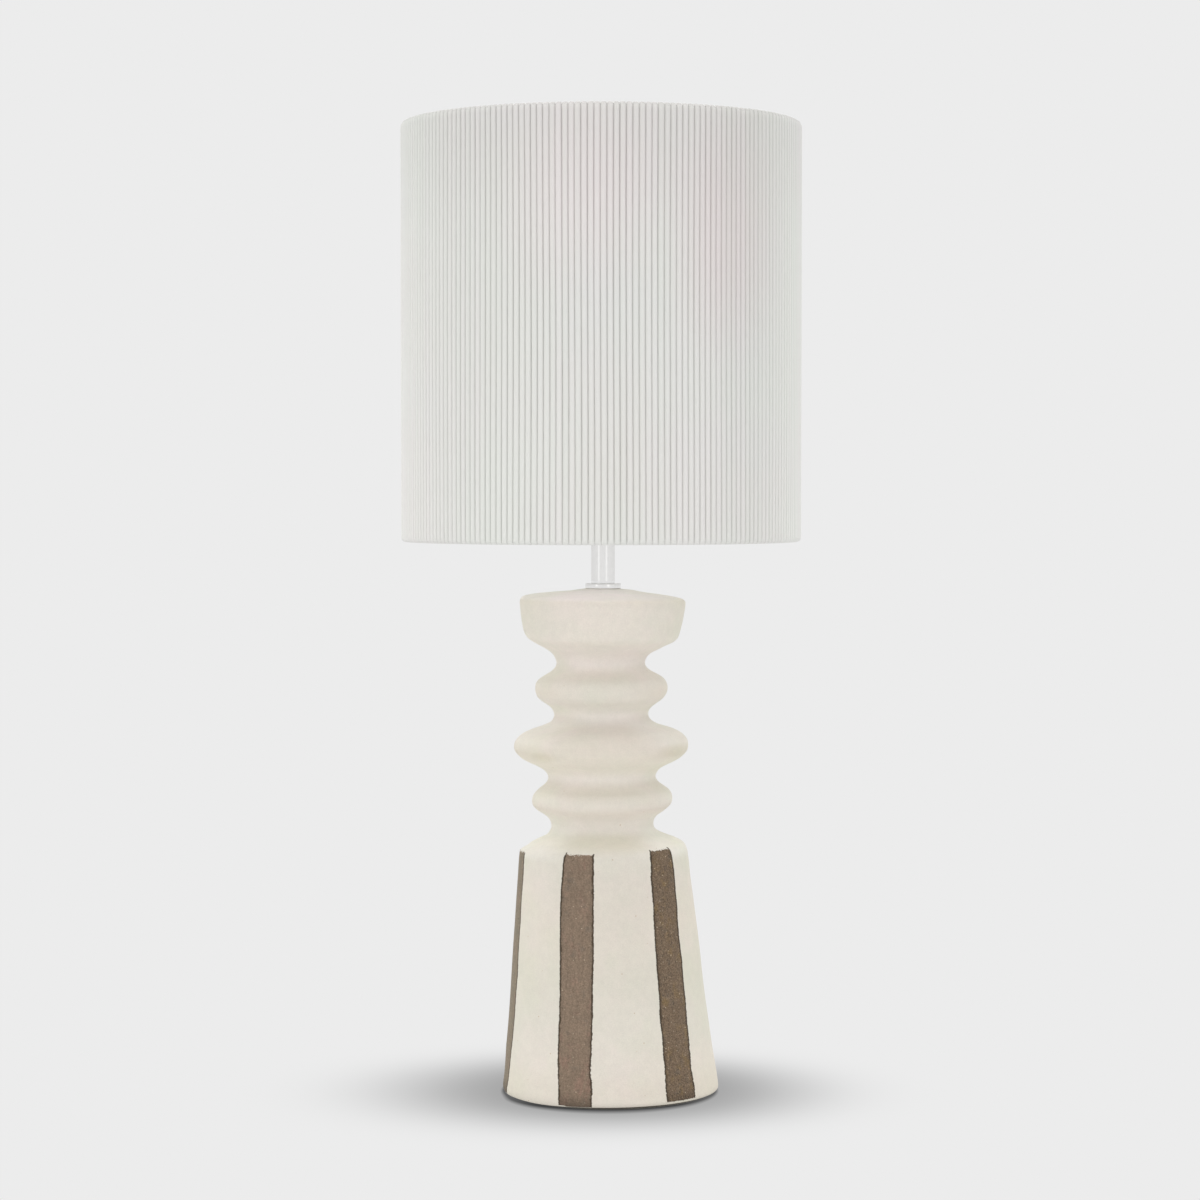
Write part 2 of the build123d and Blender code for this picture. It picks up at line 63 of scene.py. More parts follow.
# =============================================================== node helpers
class Tree:
    """A node tree with short calls. Positions inside materials are in millimetres."""

    def __init__(self, tree):
        self.t = tree
        self.t.nodes.clear()

    def node(self, kind, **props):
        n = self.t.nodes.new(kind)
        for k, v in props.items():
            setattr(n, k, v)
        return n

    def put(self, socket, value):
        if isinstance(value, bpy.types.NodeSocket):
            self.t.links.new(value, socket)
        elif isinstance(value, (tuple, list)) and socket.type == "RGBA" and len(value) == 3:
            socket.default_value = (*value, 1.0)
        elif isinstance(value, (tuple, list)) and socket.type == "VECTOR":
            socket.default_value = value[:3]
        else:
            socket.default_value = value

    def math(self, op, a, b=0.0, c=0.0, clamp=False):
        n = self.node("ShaderNodeMath", operation=op, use_clamp=clamp)
        for s, v in zip(n.inputs, (a, b, c)):
            self.put(s, v)
        return n.outputs[0]

    def add(self, a, b):
        return self.math("ADD", a, b)

    def sub(self, a, b):
        return self.math("SUBTRACT", a, b)

    def mul(self, a, b):
        return self.math("MULTIPLY", a, b)

    def step(self, v, lo, hi, out0=0.0, out1=1.0, smooth=True):
        n = self.node("ShaderNodeMapRange", interpolation_type="SMOOTHSTEP" if smooth else "LINEAR")
        n.clamp = True
        for s, x in zip(n.inputs, (v, lo, hi, out0, out1)):
            self.put(s, x)
        return n.outputs[0]

    def vec(self, op, a, b=(0.0, 0.0, 0.0)):
        n = self.node("ShaderNodeVectorMath", operation=op)
        self.put(n.inputs[0], a)
        self.put(n.inputs[1], b)
        return n.outputs["Value"] if op in ("DOT_PRODUCT", "LENGTH", "DISTANCE") else n.outputs[0]

    def split(self, v):
        n = self.node("ShaderNodeSeparateXYZ")
        self.put(n.inputs[0], v)
        return n.outputs

    def join(self, x, y, z):
        n = self.node("ShaderNodeCombineXYZ")
        for s, v in zip(n.inputs, (x, y, z)):
            self.put(s, v)
        return n.outputs[0]

    def noise(self, v, scale, detail=2.0, rough=0.5, distort=0.0):
        n = self.node("ShaderNodeTexNoise", noise_dimensions="3D")
        self.put(n.inputs["Vector"], v)
        self.put(n.inputs["Scale"], scale)
        self.put(n.inputs["Detail"], detail)
        self.put(n.inputs["Roughness"], rough)
        self.put(n.inputs["Distortion"], distort)
        return n.outputs[0]

    def voronoi(self, v, scale, feature="F1", random=1.0):
        n = self.node("ShaderNodeTexVoronoi", voronoi_dimensions="3D", feature=feature)
        self.put(n.inputs["Vector"], v)
        self.put(n.inputs["Scale"], scale)
        if "Randomness" in n.inputs:
            self.put(n.inputs["Randomness"], random)
        return n.outputs["Distance"], n.outputs.get("Color")

    def mix(self, f, a, b, blend="MIX"):
        n = self.node("ShaderNodeMix", data_type="RGBA", blend_type=blend)
        n.clamp_factor = True
        self.put(n.inputs[0], f)
        self.put(n.inputs[6], a)
        self.put(n.inputs[7], b)
        return n.outputs[2]

    def lerp(self, f, a, b):
        n = self.node("ShaderNodeMix", data_type="FLOAT")
        self.put(n.inputs[0], f)
        self.put(n.inputs[2], a)
        self.put(n.inputs[3], b)
        return n.outputs[0]

    def scale(self, col, f):
        """A colour times a number."""
        n = self.node("ShaderNodeVectorMath", operation="SCALE")
        self.put(n.inputs[0], col)
        self.put(n.inputs["Scale"], f)
        return n.outputs[0]

    def attr(self, name):
        n = self.node("ShaderNodeAttribute", attribute_type="GEOMETRY")
        n.attribute_name = name
        return n.outputs["Fac"]


class Mat(Tree):
    def __init__(self, name, rough=0.5, metal=0.0, spec=0.5, **sockets):
        self.m = bpy.data.materials.new(name)
        self.m.use_nodes = True
        super().__init__(self.m.node_tree)
        self.out = self.node("ShaderNodeOutputMaterial")
        self.b = self.node("ShaderNodeBsdfPrincipled")
        self.t.links.new(self.b.outputs[0], self.out.inputs[0])
        self.set("Roughness", rough)
        self.set("Metallic", metal)
        self.set("Specular IOR Level", spec)
        for k, v in sockets.items():
            self.set(k.replace("_", " "), v)
        tc = self.node("ShaderNodeTexCoord")
        self.p = self.vec("MULTIPLY", tc.outputs["Object"], (1000.0, 1000.0, 1000.0))

    def set(self, name, value):
        self.put(self.b.inputs[name], value)

    def bump(self, height_mm, strength=1.0):
        n = self.node("ShaderNodeBump")
        n.inputs["Strength"].default_value = strength
        n.inputs["Distance"].default_value = MM
        self.put(n.inputs["Height"], height_mm)
        self.t.links.new(n.outputs[0], self.b.inputs["Normal"])
        return n.outputs[0]


def srgb(r, g, b):
    out = []
    for v in (r, g, b):
        v = v / 255.0
        out.append(v / 12.92 if v <= 0.04045 else ((v + 0.055) / 1.055) ** 2.4)
    return tuple(out)


def give(obj, mat):
    obj.data.materials.clear()
    obj.data.materials.append(mat.m if isinstance(mat, Mat) else mat)


# =============================================================== mesh helpers
def new_object(name, verts, faces, smooth=True):
    me = bpy.data.meshes.new(name)
    verts = np.asarray(verts, np.float32)
    faces = np.asarray(faces, np.int32)
    me.vertices.add(len(verts))
    me.vertices.foreach_set("co", verts.ravel())
    k = faces.shape[1]
    me.loops.add(faces.size)
    me.loops.foreach_set("vertex_index", faces.ravel())
    me.polygons.add(len(faces))
    me.polygons.foreach_set("loop_start", np.arange(0, faces.size, k, dtype=np.int32))
    me.polygons.foreach_set("loop_total", np.full(len(faces), k, np.int32))
    me.polygons.foreach_set("use_smooth", np.full(len(faces), smooth))
    me.update(calc_edges=True)
    me.validate()
    ob = bpy.data.objects.new(name, me)
    bpy.context.scene.collection.objects.link(ob)
    return ob


def grid_faces(rows, cols, close_rows=False, flip=False):
    """Quads of a (rows x cols) grid whose columns go round."""
    i = np.arange(rows if close_rows else rows - 1)
    j = np.arange(cols)
    ii, jj = np.meshgrid(i, j, indexing="ij")
    a = ii * cols + jj
    b = ii * cols + (jj + 1) % cols
    c = ((ii + 1) % rows) * cols + (jj + 1) % cols
    d = ((ii + 1) % rows) * cols + jj
    f = np.stack([a, b, c, d] if not flip else [a, d, c, b], -1)
    return f.reshape(-1, 4)


def verts_of(ob):
    co = np.zeros(len(ob.data.vertices) * 3, np.float32)
    ob.data.vertices.foreach_get("co", co)
    return co.reshape(-1, 3).astype(float)


def put_attr(ob, name, values):
    a = ob.data.attributes.new(name, "FLOAT", "POINT")
    a.data.foreach_set("value", np.asarray(values, np.float32))


def sharp(ob, degrees):
    ob.data.set_sharp_from_angle(angle=math.radians(degrees))


# =============================================================== ceramic body
# Hand-made outline of the body, left and right side apart, seen from the front:
# (height left, radius left, height right, radius right) in millimetres, from the
# rim of the top disc down to the foot. The radii are about x = BODY_X.
BODY_X = 0.82
OUTLINE = [
    (406.0, 68.3, 406.0, 68.9), (403.0, 68.0, 403.0, 68.8), (400.0, 67.7, 400.0, 68.4),
    (397.0, 67.5, 397.0, 67.8), (394.0, 67.0, 394.0, 67.3), (391.0, 66.7, 391.0, 66.8),
    (388.0, 66.2, 388.0, 66.1), (385.0, 65.6, 385.0, 65.3), (382.0, 64.8, 382.0, 64.6),
    (379.0, 63.4, 379.0, 63.6), (376.0, 61.0, 376.0, 62.3), (373.0, 56.4, 373.0, 58.6),
    (369.9, 50.7, 370.1, 52.4), (366.9, 45.5, 367.1, 46.4), (363.8, 41.5, 364.2, 40.8),
    (360.8, 39.3, 361.2, 37.5), (357.7, 37.9, 358.3, 36.0), (354.7, 37.7, 355.3, 35.6),
    (351.6, 39.2, 352.4, 36.9), (348.5, 42.6, 349.5, 40.0), (345.4, 47.7, 346.6, 45.6),
    (342.3, 52.3, 343.7, 50.3), (339.2, 54.8, 340.8, 52.7), (336.2, 55.4, 337.8, 53.9),
    (333.1, 55.4, 334.9, 54.2), (330.2, 54.7, 331.8, 53.6), (327.3, 53.3, 328.7, 52.1),
    (324.4, 50.2, 325.6, 49.3), (321.4, 45.4, 322.6, 45.0), (318.5, 42.1, 319.5, 41.1),
    (315.6, 40.3, 316.4, 38.8), (312.7, 39.6, 313.3, 38.3), (309.6, 40.5, 310.4, 39.1),
    (306.5, 43.3, 307.5, 41.8), (303.4, 50.0, 304.6, 47.6), (300.3, 58.8, 301.7, 57.4),
    (297.2, 65.7, 298.8, 64.1), (294.2, 69.5, 295.9, 67.9), (291.1, 72.0, 293.0, 70.2),
    (288.0, 73.0, 290.1, 71.1), (284.9, 72.9, 287.2, 71.2), (282.0, 71.7, 284.1, 70.6),
    (279.1, 69.1, 281.0, 68.4), (276.2, 65.5, 277.9, 65.0), (273.3, 59.7, 274.8, 59.8),
    (270.3, 53.3, 271.8, 53.4), (267.4, 48.6, 268.7, 48.1), (264.5, 46.0, 265.6, 45.5),
    (261.6, 44.7, 262.5, 44.2), (258.5, 45.2, 259.6, 44.7), (255.4, 47.4, 256.7, 47.1),
    (252.3, 51.2, 253.8, 51.1), (249.2, 54.7, 250.9, 55.2), (246.1, 57.1, 247.9, 57.3),
    (243.0, 58.1, 245.0, 58.1), (239.9, 58.1, 242.1, 58.0), (236.9, 56.9, 239.1, 56.9),
    (233.9, 53.6, 236.1, 54.0), (230.9, 48.7, 233.1, 50.3), (227.9, 45.0, 230.2, 46.1),
    (224.9, 43.0, 227.2, 43.6), (221.9, 42.1, 224.2, 42.6), (218.8, 42.3, 221.3, 42.6),
    (215.7, 43.9, 218.4, 43.7), (212.6, 46.6, 215.5, 47.7), (209.5, 53.1, 212.6, 54.5),
    (206.4, 59.1, 209.7, 62.3), (203.3, 63.2, 206.8, 67.4), (200.6, 67.9, 203.5, 69.6),
    (197.9, 68.5, 200.1, 70.7), (195.3, 68.9, 196.8, 71.1), (190.0, 69.3, 190.0, 72.1),
    (180.0, 69.9, 180.0, 73.0), (160.0, 71.3, 160.0, 75.7), (140.0, 72.6, 140.0, 78.3),
    (120.0, 74.0, 120.0, 80.8), (100.0, 75.2, 100.0, 82.9), (80.0, 76.4, 80.0, 85.3),
    (60.0, 77.8, 60.0, 88.2), (40.0, 79.6, 40.0, 91.0), (20.0, 81.7, 20.0, 93.8),
    (7.0, 83.6, 7.0, 95.4),
]
# The domed top, from the gasket's seat out to the rim.
DOME = [
    (417.2, 14.8, 417.2, 14.8), (416.5, 19.6, 416.7, 19.4), (415.5, 27.0, 416.0, 26.0),
    (414.8, 37.0, 414.2, 35.0), (413.95, 47.0, 412.8, 44.5), (413.05, 56.0, 411.5, 53.5),
    (412.1, 61.8, 410.3, 60.0), (411.2, 65.3, 409.3, 64.3), (409.8, 67.2, 408.3, 67.0),
    (407.9, 68.1, 407.1, 68.4),
]
ROD_HOLE_R, RECESS_R, RECESS_X = 6.0, 79.5, 5.7
CERAMIC_Z0, RECESS_Z1, FLOOR_Z1, HOLLOW_TOP, SEAT_Z = 2.0, 24.0, 30.0, 411.6, 417.2
WALL = 5.5
COLS = 252


def smooth_rows(table, spacing):
    """Catmull-Rom through the table's rows, resampled at an even spacing along the mean line."""
    p = np.array(table, float)
    pad = np.vstack([2 * p[0] - p[1], p, 2 * p[-1] - p[-2]])
    fine = []
    for i in range(1, len(pad) - 2):
        p0, p1, p2, p3 = pad[i - 1:i + 3]
        for t in np.linspace(0, 1, 12, endpoint=False):
            fine.append(0.5 * (2 * p1 + (p2 - p0) * t + (2 * p0 - 5 * p1 + 4 * p2 - p3) * t * t
                               + (3 * p1 - p0 - 3 * p2 + p3) * t ** 3))
    fine.append(p[-1])
    fine = np.array(fine)
    mid = np.stack([(fine[:, 1] + fine[:, 3]) / 2, (fine[:, 0] + fine[:, 2]) / 2], 1)
    seg = np.hypot(*np.diff(mid, axis=0).T)
    want = spacing(mid[:-1, 1])
    run = np.concatenate([[0], np.cumsum(seg / want)])
    n = int(round(run[-1]))
    at = np.linspace(0, run[-1], n + 1)
    return np.stack([np.interp(at, run, fine[:, k]) for k in range(4)], 1)


outer = smooth_rows(DOME + OUTLINE, lambda z: np.where(z > 196, 1.95, 3.6))
mean_z = (outer[:, 0] + outer[:, 2]) / 2
mean_r = (outer[:, 1] + outer[:, 3]) / 2
side_c = (outer[:, 3] - outer[:, 1]) / 2 + BODY_X * np.clip((mean_r - 14.0) / 30.0, 0, 1)
tilt = (outer[:, 2] - outer[:, 0]) / 2


def cone_centre(z):
    return np.interp(z, mean_z[::-1][:90], side_c[::-1][:90])


theta = np.arange(COLS) * 2 * math.pi / COLS        # from +X towards +Y


def ring(cx, r, z, dz=0.0):
    lean = np.clip((38.0 - z) / 28.0, 0, 1) * (r > 80.0) * np.cos(theta) ** 4      # the thrown foot runs out to the right
    return np.stack([cx + r * np.cos(theta) + lean * np.where(np.cos(theta) < 0, 1.25, 0.9), r * np.sin(theta), z + dz * np.cos(theta)], 1)


def hand(theta_, z):
    """Unevenness of the hand-made form, none where the outline was measured."""
    side = np.abs(np.sin(theta_))
    low = 0.34 * np.sin(2 * theta_ + z / 31.0 + 0.7) + 0.26 * np.sin(3 * theta_ - z / 19.0 + 2.1)
    fine = 0.10 * np.sin(7 * theta_ + z / 6.1) + 0.08 * np.sin(11 * theta_ - z / 4.3 + 1.0)
    return side * (low + fine)


rings = [ring(0, ROD_HOLE_R, HOLLOW_TOP), ring(0, ROD_HOLE_R, SEAT_Z - 0.4), ring(0, ROD_HOLE_R + 0.4, SEAT_Z)]
for c, r, z, dz in zip(side_c, mean_r, mean_z, tilt):
    fade = np.clip((r - 14.0) / 20.0, 0, 1)
    rings.append(ring(c, r + fade * hand(theta, z), z, dz))
c_low, r_low = side_c[-1], mean_r[-1]
for dr, z in ((0.12, 5.2), (0.10, 3.9), (-0.20, 3.1), (-0.75, 2.45), (-1.6, 2.1), (-2.8, 2.0)):
    edge = 0.5 * np.exp(-((np.degrees(theta) - 244.0) / 26.0) ** 2)      # a sharper edge at the front left
    sag = 0.95 * np.exp(-((np.degrees(theta) - 226.0) / 22.0) ** 2) + 0.80 * np.exp(-((np.degrees(theta) - 197.0) / 13.0) ** 2)
    sag = sag * min(1.0, (5.2 - z) / 2.6)
    rings.append(ring(c_low, r_low + dr + edge * max(0.0, -dr) + hand(theta, 7.0) * 0.6, z) - np.stack([0 * theta, 0 * theta, sag], 1))
rings.append(ring(RECESS_X + 0.05, RECESS_R + 0.4, CERAMIC_Z0))
rings.append(ring(RECESS_X, RECESS_R, CERAMIC_Z0 + 0.5))
for z in (8.0, 13.0, 18.0, 23.0):
    rings.append(ring(RECESS_X, RECESS_R, z))
for r in (RECESS_R - 1.0, 64.0, 48.0, 32.0, 20.0, ROD_HOLE_R + 0.3):
    rings.append(ring(RECESS_X * (r - 6) / 73.5 if r > 6.5 else 0, r, RECESS_Z1))
rings.append(ring(0, ROD_HOLE_R, RECESS_Z1 + 0.4))
rings.append(ring(0, ROD_HOLE_R, FLOOR_Z1))
order = np.argsort(mean_z)


def outside(z):
    return np.interp(z, mean_z[order], mean_r[order])


def inside(z):
    dz = np.linspace(-WALL, WALL, 61)
    return float(np.min(outside(z + dz) - np.sqrt(np.maximum(WALL * WALL - dz * dz, 0))))


levels = [30.0, 60.0, 100.0, 150.0, 190.0] + list(np.arange(200.0, 404.1, 4.0)) + [406.6, 408.6, 410.0, 411.0]
first = inside(levels[0]) - 1.0
for r in (24.0, 48.0, 66.0):
    rings.append(ring(float(cone_centre(30)) * r / first, r, FLOOR_Z1))
for z in levels:
    r = inside(z) - (1.0 if z < 199 else 0.0)
    rings.append(ring(float(np.interp(z, mean_z[order], side_c[order])), max(r, 20.0), z))
rings.append(ring(0, min(19.0, inside(411.3)), HOLLOW_TOP))
verts = np.vstack(rings) * MM
ceramic = new_object("ceramic_body_thrown", verts, grid_faces(len(rings), COLS, close_rows=True, flip=True))

# the supply inlet through the rear of the foot, with its spot-faced seat
INLET = (5.67, 13.0)
cutters = []
for nm, r, y0, y1 in (("cut_a", 5.0, 70.0, 100.0), ("cut_b", 8.0, 87.0, 100.0)):
    bm = bmesh.new()
    bmesh.ops.create_cone(bm, cap_ends=True, segments=48, radius1=r * MM, radius2=r * MM, depth=(y1 - y0) * MM)
    me = bpy.data.meshes.new(nm)
    bm.to_mesh(me)
    bm.free()
    ob = bpy.data.objects.new(nm, me)
    bpy.context.scene.collection.objects.link(ob)
    ob.rotation_euler = (math.radians(90), 0, 0)
    ob.location = (INLET[0] * MM, (y0 + y1) / 2 * MM, INLET[1] * MM)
    cutters.append(ob)
    md = ceramic.modifiers.new(nm, "BOOLEAN")
    md.operation, md.solver, md.object = "DIFFERENCE", "EXACT", ob
bpy.context.view_layer.update()
cut = bpy.data.meshes.new_from_object(ceramic.evaluated_get(bpy.context.evaluated_depsgraph_get()))
ceramic.modifiers.clear()
ceramic.data = cut
for ob in cutters:
    bpy.data.objects.remove(ob, do_unlink=True)
cut.polygons.foreach_set("use_smooth", np.ones(len(cut.polygons), bool))
sharp(ceramic, 42)

# Painted stripes: per stripe its height stations with the left and right border's
# angle about the cone's centre (degrees, 0 at the front, + towards +X), the top edge of
# the fill at both borders, the foot end and its tone.
STRIPES = [
    dict(z=(5, 20, 40, 60, 79, 99, 119, 139, 159, 178, 198, 206),
         a=(-93.5, -93, -92.5, -93, -92, -92.4, -92, -91.5, -92, -91.6, -92, -92),
         b=(-72.3, -71.3, -70.1, -69.5, -69.2, -68.3, -68.9, -69, -69, -68.5, -68.4, -69),
         top=(200.5, 200.7), ear=(200.7, 200.9), foot=1.5, tone=-0.6),
    dict(z=(5, 15.5, 29.5, 48.5, 68, 87, 106.5, 125.5, 145, 164, 183.5, 196, 201, 204, 207),
         a=(-27.2, -27.9, -28.9, -29.6, -29.2, -28.8, -28.8, -28.9, -29.3, -29.2, -28.8, -27.8, -27.7, -28.4, -29.9),
         b=(-9.4, -9.4, -10.6, -9.7, -9.1, -8.5, -8.2, -7.5, -7.4, -7.3, -6.9, -6.7, -6.7, -7.1, -8.3),
         top=(203.1, 203.5), ear=(204.7, 204.4), foot=1.2, tone=0.0),
    dict(z=(4.6, 12.5, 27, 46, 65.4, 84.7, 104, 123.5, 143, 162.2, 181.6, 201, 210),
         a=(31.4, 31, 31.2, 31.3, 30.8, 31.4, 31.5, 31.4, 31.9, 32.4, 32.5, 33.3, 33.8),
         b=(51.1, 51, 50.1, 50.5, 51, 51.7, 52, 52, 52, 53.7, 54.2, 53.5, 52.2),
         top=(205.4, 206.2), ear=(206.3, 207.2), foot=4.2, tone=1.0),
    dict(z=(3, 30, 60, 95, 130, 160, 185, 206),
         a=(92.4, 93.0, 92.6, 93.4, 93.0, 92.2, 92.6, 93.2),
         b=(113.0, 112.6, 113.6, 113.2, 112.4, 113.4, 113.8, 113.0),
         top=(202.6, 203.4), ear=(204.2, 204.8), foot=2.5, tone=0.6),
    dict(z=(3, 28, 62, 90, 126, 158, 187, 206),
         a=(151.8, 151.0, 151.6, 152.0, 152.6, 151.8, 152.4, 151.6),
         b=(171.6, 172.4, 171.8, 171.2, 172.0, 172.6, 171.6, 172.2),
         top=(203.2, 202.4), ear=(204.8, 204.0), foot=1.8, tone=0.2),
    dict(z=(3, 33, 58, 93, 122, 156, 183, 206),
         a=(-150.6, -150.0, -149.2, -149.8, -150.4, -149.6, -149.0, -149.8),
         b=(-129.6, -130.4, -129.8, -129.0, -129.6, -130.2, -129.4, -129.0),
         top=(202.0, 203.0), ear=(203.8, 204.4), foot=3.0, tone=0.8),
]
co = verts_of(ceramic) / MM
zz = co[:, 2]
cx = np.interp(zz, mean_z[order], side_c[order])
rr = np.interp(zz, mean_z[order], mean_r[order])
ang = np.degrees(np.arctan2(co[:, 0] - cx, -co[:, 1]))
side_sd = np.full(len(co), -30.0)
fill_sd = np.full(len(co), -30.0)
ear_sd = np.full(len(co), -30.0)
foot_sd = np.full(len(co), 30.0)
tone = np.zeros(len(co))
for s in STRIPES:
    lo = np.interp(zz, s["z"], s["a"])
    hi = np.interp(zz, s["z"], s["b"])
    mid = (lo + hi) / 2
    off = (ang - mid + 180) % 360 - 180
    half = (hi - lo) / 2
    k = math.pi / 180 * rr
    sd = np.minimum(off + half, half - off) * k
    u = np.clip(off / half * 0.5 + 0.5, 0, 1)
    best = sd > side_sd
    side_sd = np.where(best, sd, side_sd)
    fill_sd = np.where(best, s["top"][0] + u * (s["top"][1] - s["top"][0]) - zz, fill_sd)
    ear_sd = np.where(best, s["ear"][0] + u * (s["ear"][1] - s["ear"][0]) - zz, ear_sd)
    foot_sd = np.where(best, zz - s["foot"], foot_sd)
    tone = np.where(best, s["tone"], tone)
hidden = (np.hypot(co[:, 0] - cx, co[:, 1]) < rr - 4.0) | (zz < 2.05)
side_sd = np.where(hidden, -30.0, side_sd)
for nm, v in (("side_mm", side_sd), ("fill_mm", fill_sd), ("ear_mm", ear_sd), ("foot_mm", foot_sd), ("tone", tone)):
    put_attr(ceramic, nm, v)

m = Mat("stoneware", rough=0.72, spec=0.28)
P = m.p
large = m.noise(P, 0.016, 2.0, 0.5)
large2 = m.noise(m.vec("ADD", P, (310.0, 77.0, 15.0)), 0.024, 2.0, 0.5)
mid_n = m.noise(P, 0.16, 3.0, 0.6)
grain = m.noise(P, 1.15, 3.0, 0.65)
cream = m.mix(m.step(large, 0.38, 0.62), (0.803, 0.742, 0.650), (0.826, 0.750, 0.664))
cream = m.mix(m.step(large2, 0.52, 0.72, 0.0, 0.55), cream, (0.806, 0.755, 0.642))
# painted shade and light by height: darker in the grooves, lighter on the ring faces
painted_shade_by_height = m.node("ShaderNodeValToRGB")
painted_shade_by_height.color_ramp.interpolation = "LINEAR"
PAINTED_SHADE_BY_HEIGHT = (
        (0, 0.918, 0.927, 0.929), (16, 0.918, 0.927, 0.929), (32, 0.918, 0.931, 0.947), (56, 0.878, 0.907, 0.916),
        (104, 0.846, 0.877, 0.872), (152, 0.863, 0.873, 0.880), (180, 0.858, 0.872, 0.882), (193, 0.850, 0.881, 0.884),
        (203, 0.849, 0.885, 0.894), (209, 0.863, 0.899, 0.869), (215, 0.842, 0.879, 0.855), (221, 0.951, 0.978, 1.010),
        (229, 0.986, 1.011, 1.053), (236, 0.969, 0.978, 0.992), (244, 0.897, 0.918, 0.923), (251, 0.857, 0.877, 0.876),
        (258, 0.975, 0.996, 1.035), (263, 1.036, 1.063, 1.115), (272, 0.992, 1.019, 1.010), (281, 0.950, 0.962, 0.947),
        (289, 0.891, 0.893, 0.890), (297, 0.867, 0.878, 0.885), (304, 0.895, 0.912, 0.934), (309, 0.901, 0.929, 0.971),
        (314, 1.002, 1.045, 1.098), (321, 1.000, 1.065, 1.090), (328, 0.930, 0.971, 0.979), (336, 0.930, 0.960, 0.965),
        (345, 0.938, 0.974, 0.989), (356, 1.005, 1.025, 1.087), (374, 0.976, 0.995, 1.009), (400, 1.021, 1.033, 1.063))
el = painted_shade_by_height.color_ramp.elements
while len(el) > 1:
    el.remove(el[0])
for i, (z, *rgb) in enumerate(PAINTED_SHADE_BY_HEIGHT):
    e = el[0] if i == 0 else el.new(z / 420.0)
    e.position = z / 420.0
    e.color = (*(v * 0.9 for v in rgb), 1.0)
m.put(painted_shade_by_height.inputs[0], m.mul(m.split(P)[2], 1.0 / 420.0))
cream = m.mix(1.0, cream, m.scale(painted_shade_by_height.outputs[0], 1.0 / 0.9), "MULTIPLY")   # painted shade in the grooves under the rings and painted light on the ring faces, set by height
dome_painted_light = m.step(m.split(P)[2], 407.5, 411.5)
cream = m.mix(dome_painted_light, cream, m.vec("MULTIPLY", cream, (1.055, 1.070, 1.135)))                              # painted light on the domed top, which lies in the shade's shadow
cream = m.scale(cream, m.step(mid_n, 0.3, 0.7, 0.976, 1.016))
hue = m.noise(m.vec("ADD", P, (12.0, 250.0, 33.0)), 0.055, 3.0, 0.6)
cream = m.mix(1.0, cream, m.mix(m.step(hue, 0.35, 0.65), (0.993, 1.001, 0.996), (1.005, 0.997, 1.002)), "MULTIPLY")
cream = m.scale(cream, m.step(grain, 0.32, 0.68, 0.960, 1.026))
d_spk, c_spk = m.voronoi(P, 0.105)
pick = m.split(c_spk)
around = m.math("ABSOLUTE", m.math("DIVIDE", m.split(P)[0], m.math("MAXIMUM", m.vec("LENGTH", m.vec("MULTIPLY", P, (1.0, 1.0, 0.0))), 1.0)))
# painted shade: the left and right sides a little darker and greener, with a cloudy edge
cream = m.mix(m.step(m.add(around, m.mul(m.sub(large2, 0.5), 0.9)), 0.55, 1.0), cream, m.mix(1.0, cream, (0.978, 0.992, 0.965), "MULTIPLY"))
SIDE_PAINTED_LIGHT = (
        (0, 1.01, 1.01, 1.00), (60, 1.02, 1.02, 1.02), (100, 1.03, 1.03, 1.03), (150, 1.04, 1.04, 1.04),
        (185, 1.04, 1.04, 1.05), (195, 1.02, 1.02, 1.02), (203, 1.14, 1.15, 1.19), (210, 1.17, 1.18, 1.25),
        (215, 1.10, 1.11, 1.16), (223, 1.00, 1.00, 1.01), (232, 1.035, 1.04, 1.05), (238, 0.955, 0.93, 0.935),
        (245, 1.075, 1.075, 1.10), (252, 1.06, 1.065, 1.095), (258, 0.955, 0.94, 0.95), (266, 0.98, 0.98, 0.965),
        (275, 1.045, 1.05, 1.04), (283, 0.955, 0.94, 0.93), (292, 1.09, 1.10, 1.14), (298, 1.13, 1.14, 1.18),
        (305, 1.14, 1.16, 1.20), (311, 0.96, 0.93, 0.93), (318, 1.01, 1.00, 0.99), (325, 1.04, 1.01, 1.04),
        (332, 0.99, 0.955, 0.95), (339, 1.02, 1.00, 1.01), (347, 1.055, 1.05, 1.08), (354, 0.95, 0.945, 0.945),
        (363, 1.00, 0.98, 1.00), (369, 1.03, 1.025, 1.04), (382, 0.94, 0.955, 0.95), (410, 0.965, 0.975, 0.96))
sides = m.node("ShaderNodeValToRGB")
sides.color_ramp.interpolation = "LINEAR"
el = sides.color_ramp.elements
while len(el) > 1:
    el.remove(el[0])
for i, (z, *rgb) in enumerate(SIDE_PAINTED_LIGHT):
    e = el[0] if i == 0 else el.new(z / 420.0)
    e.position = z / 420.0
    e.color = (*(v * 0.75 for v in rgb), 1.0)
m.put(sides.inputs[0], m.mul(m.split(P)[2], 1.0 / 420.0))
cream = m.mix(m.step(around, 0.30, 0.90), cream, m.mix(1.0, cream, m.scale(sides.outputs[0], 1.0 / 0.75), "MULTIPLY"))   # painted light and shade by height at the left and right sides, lighter on the ring tops
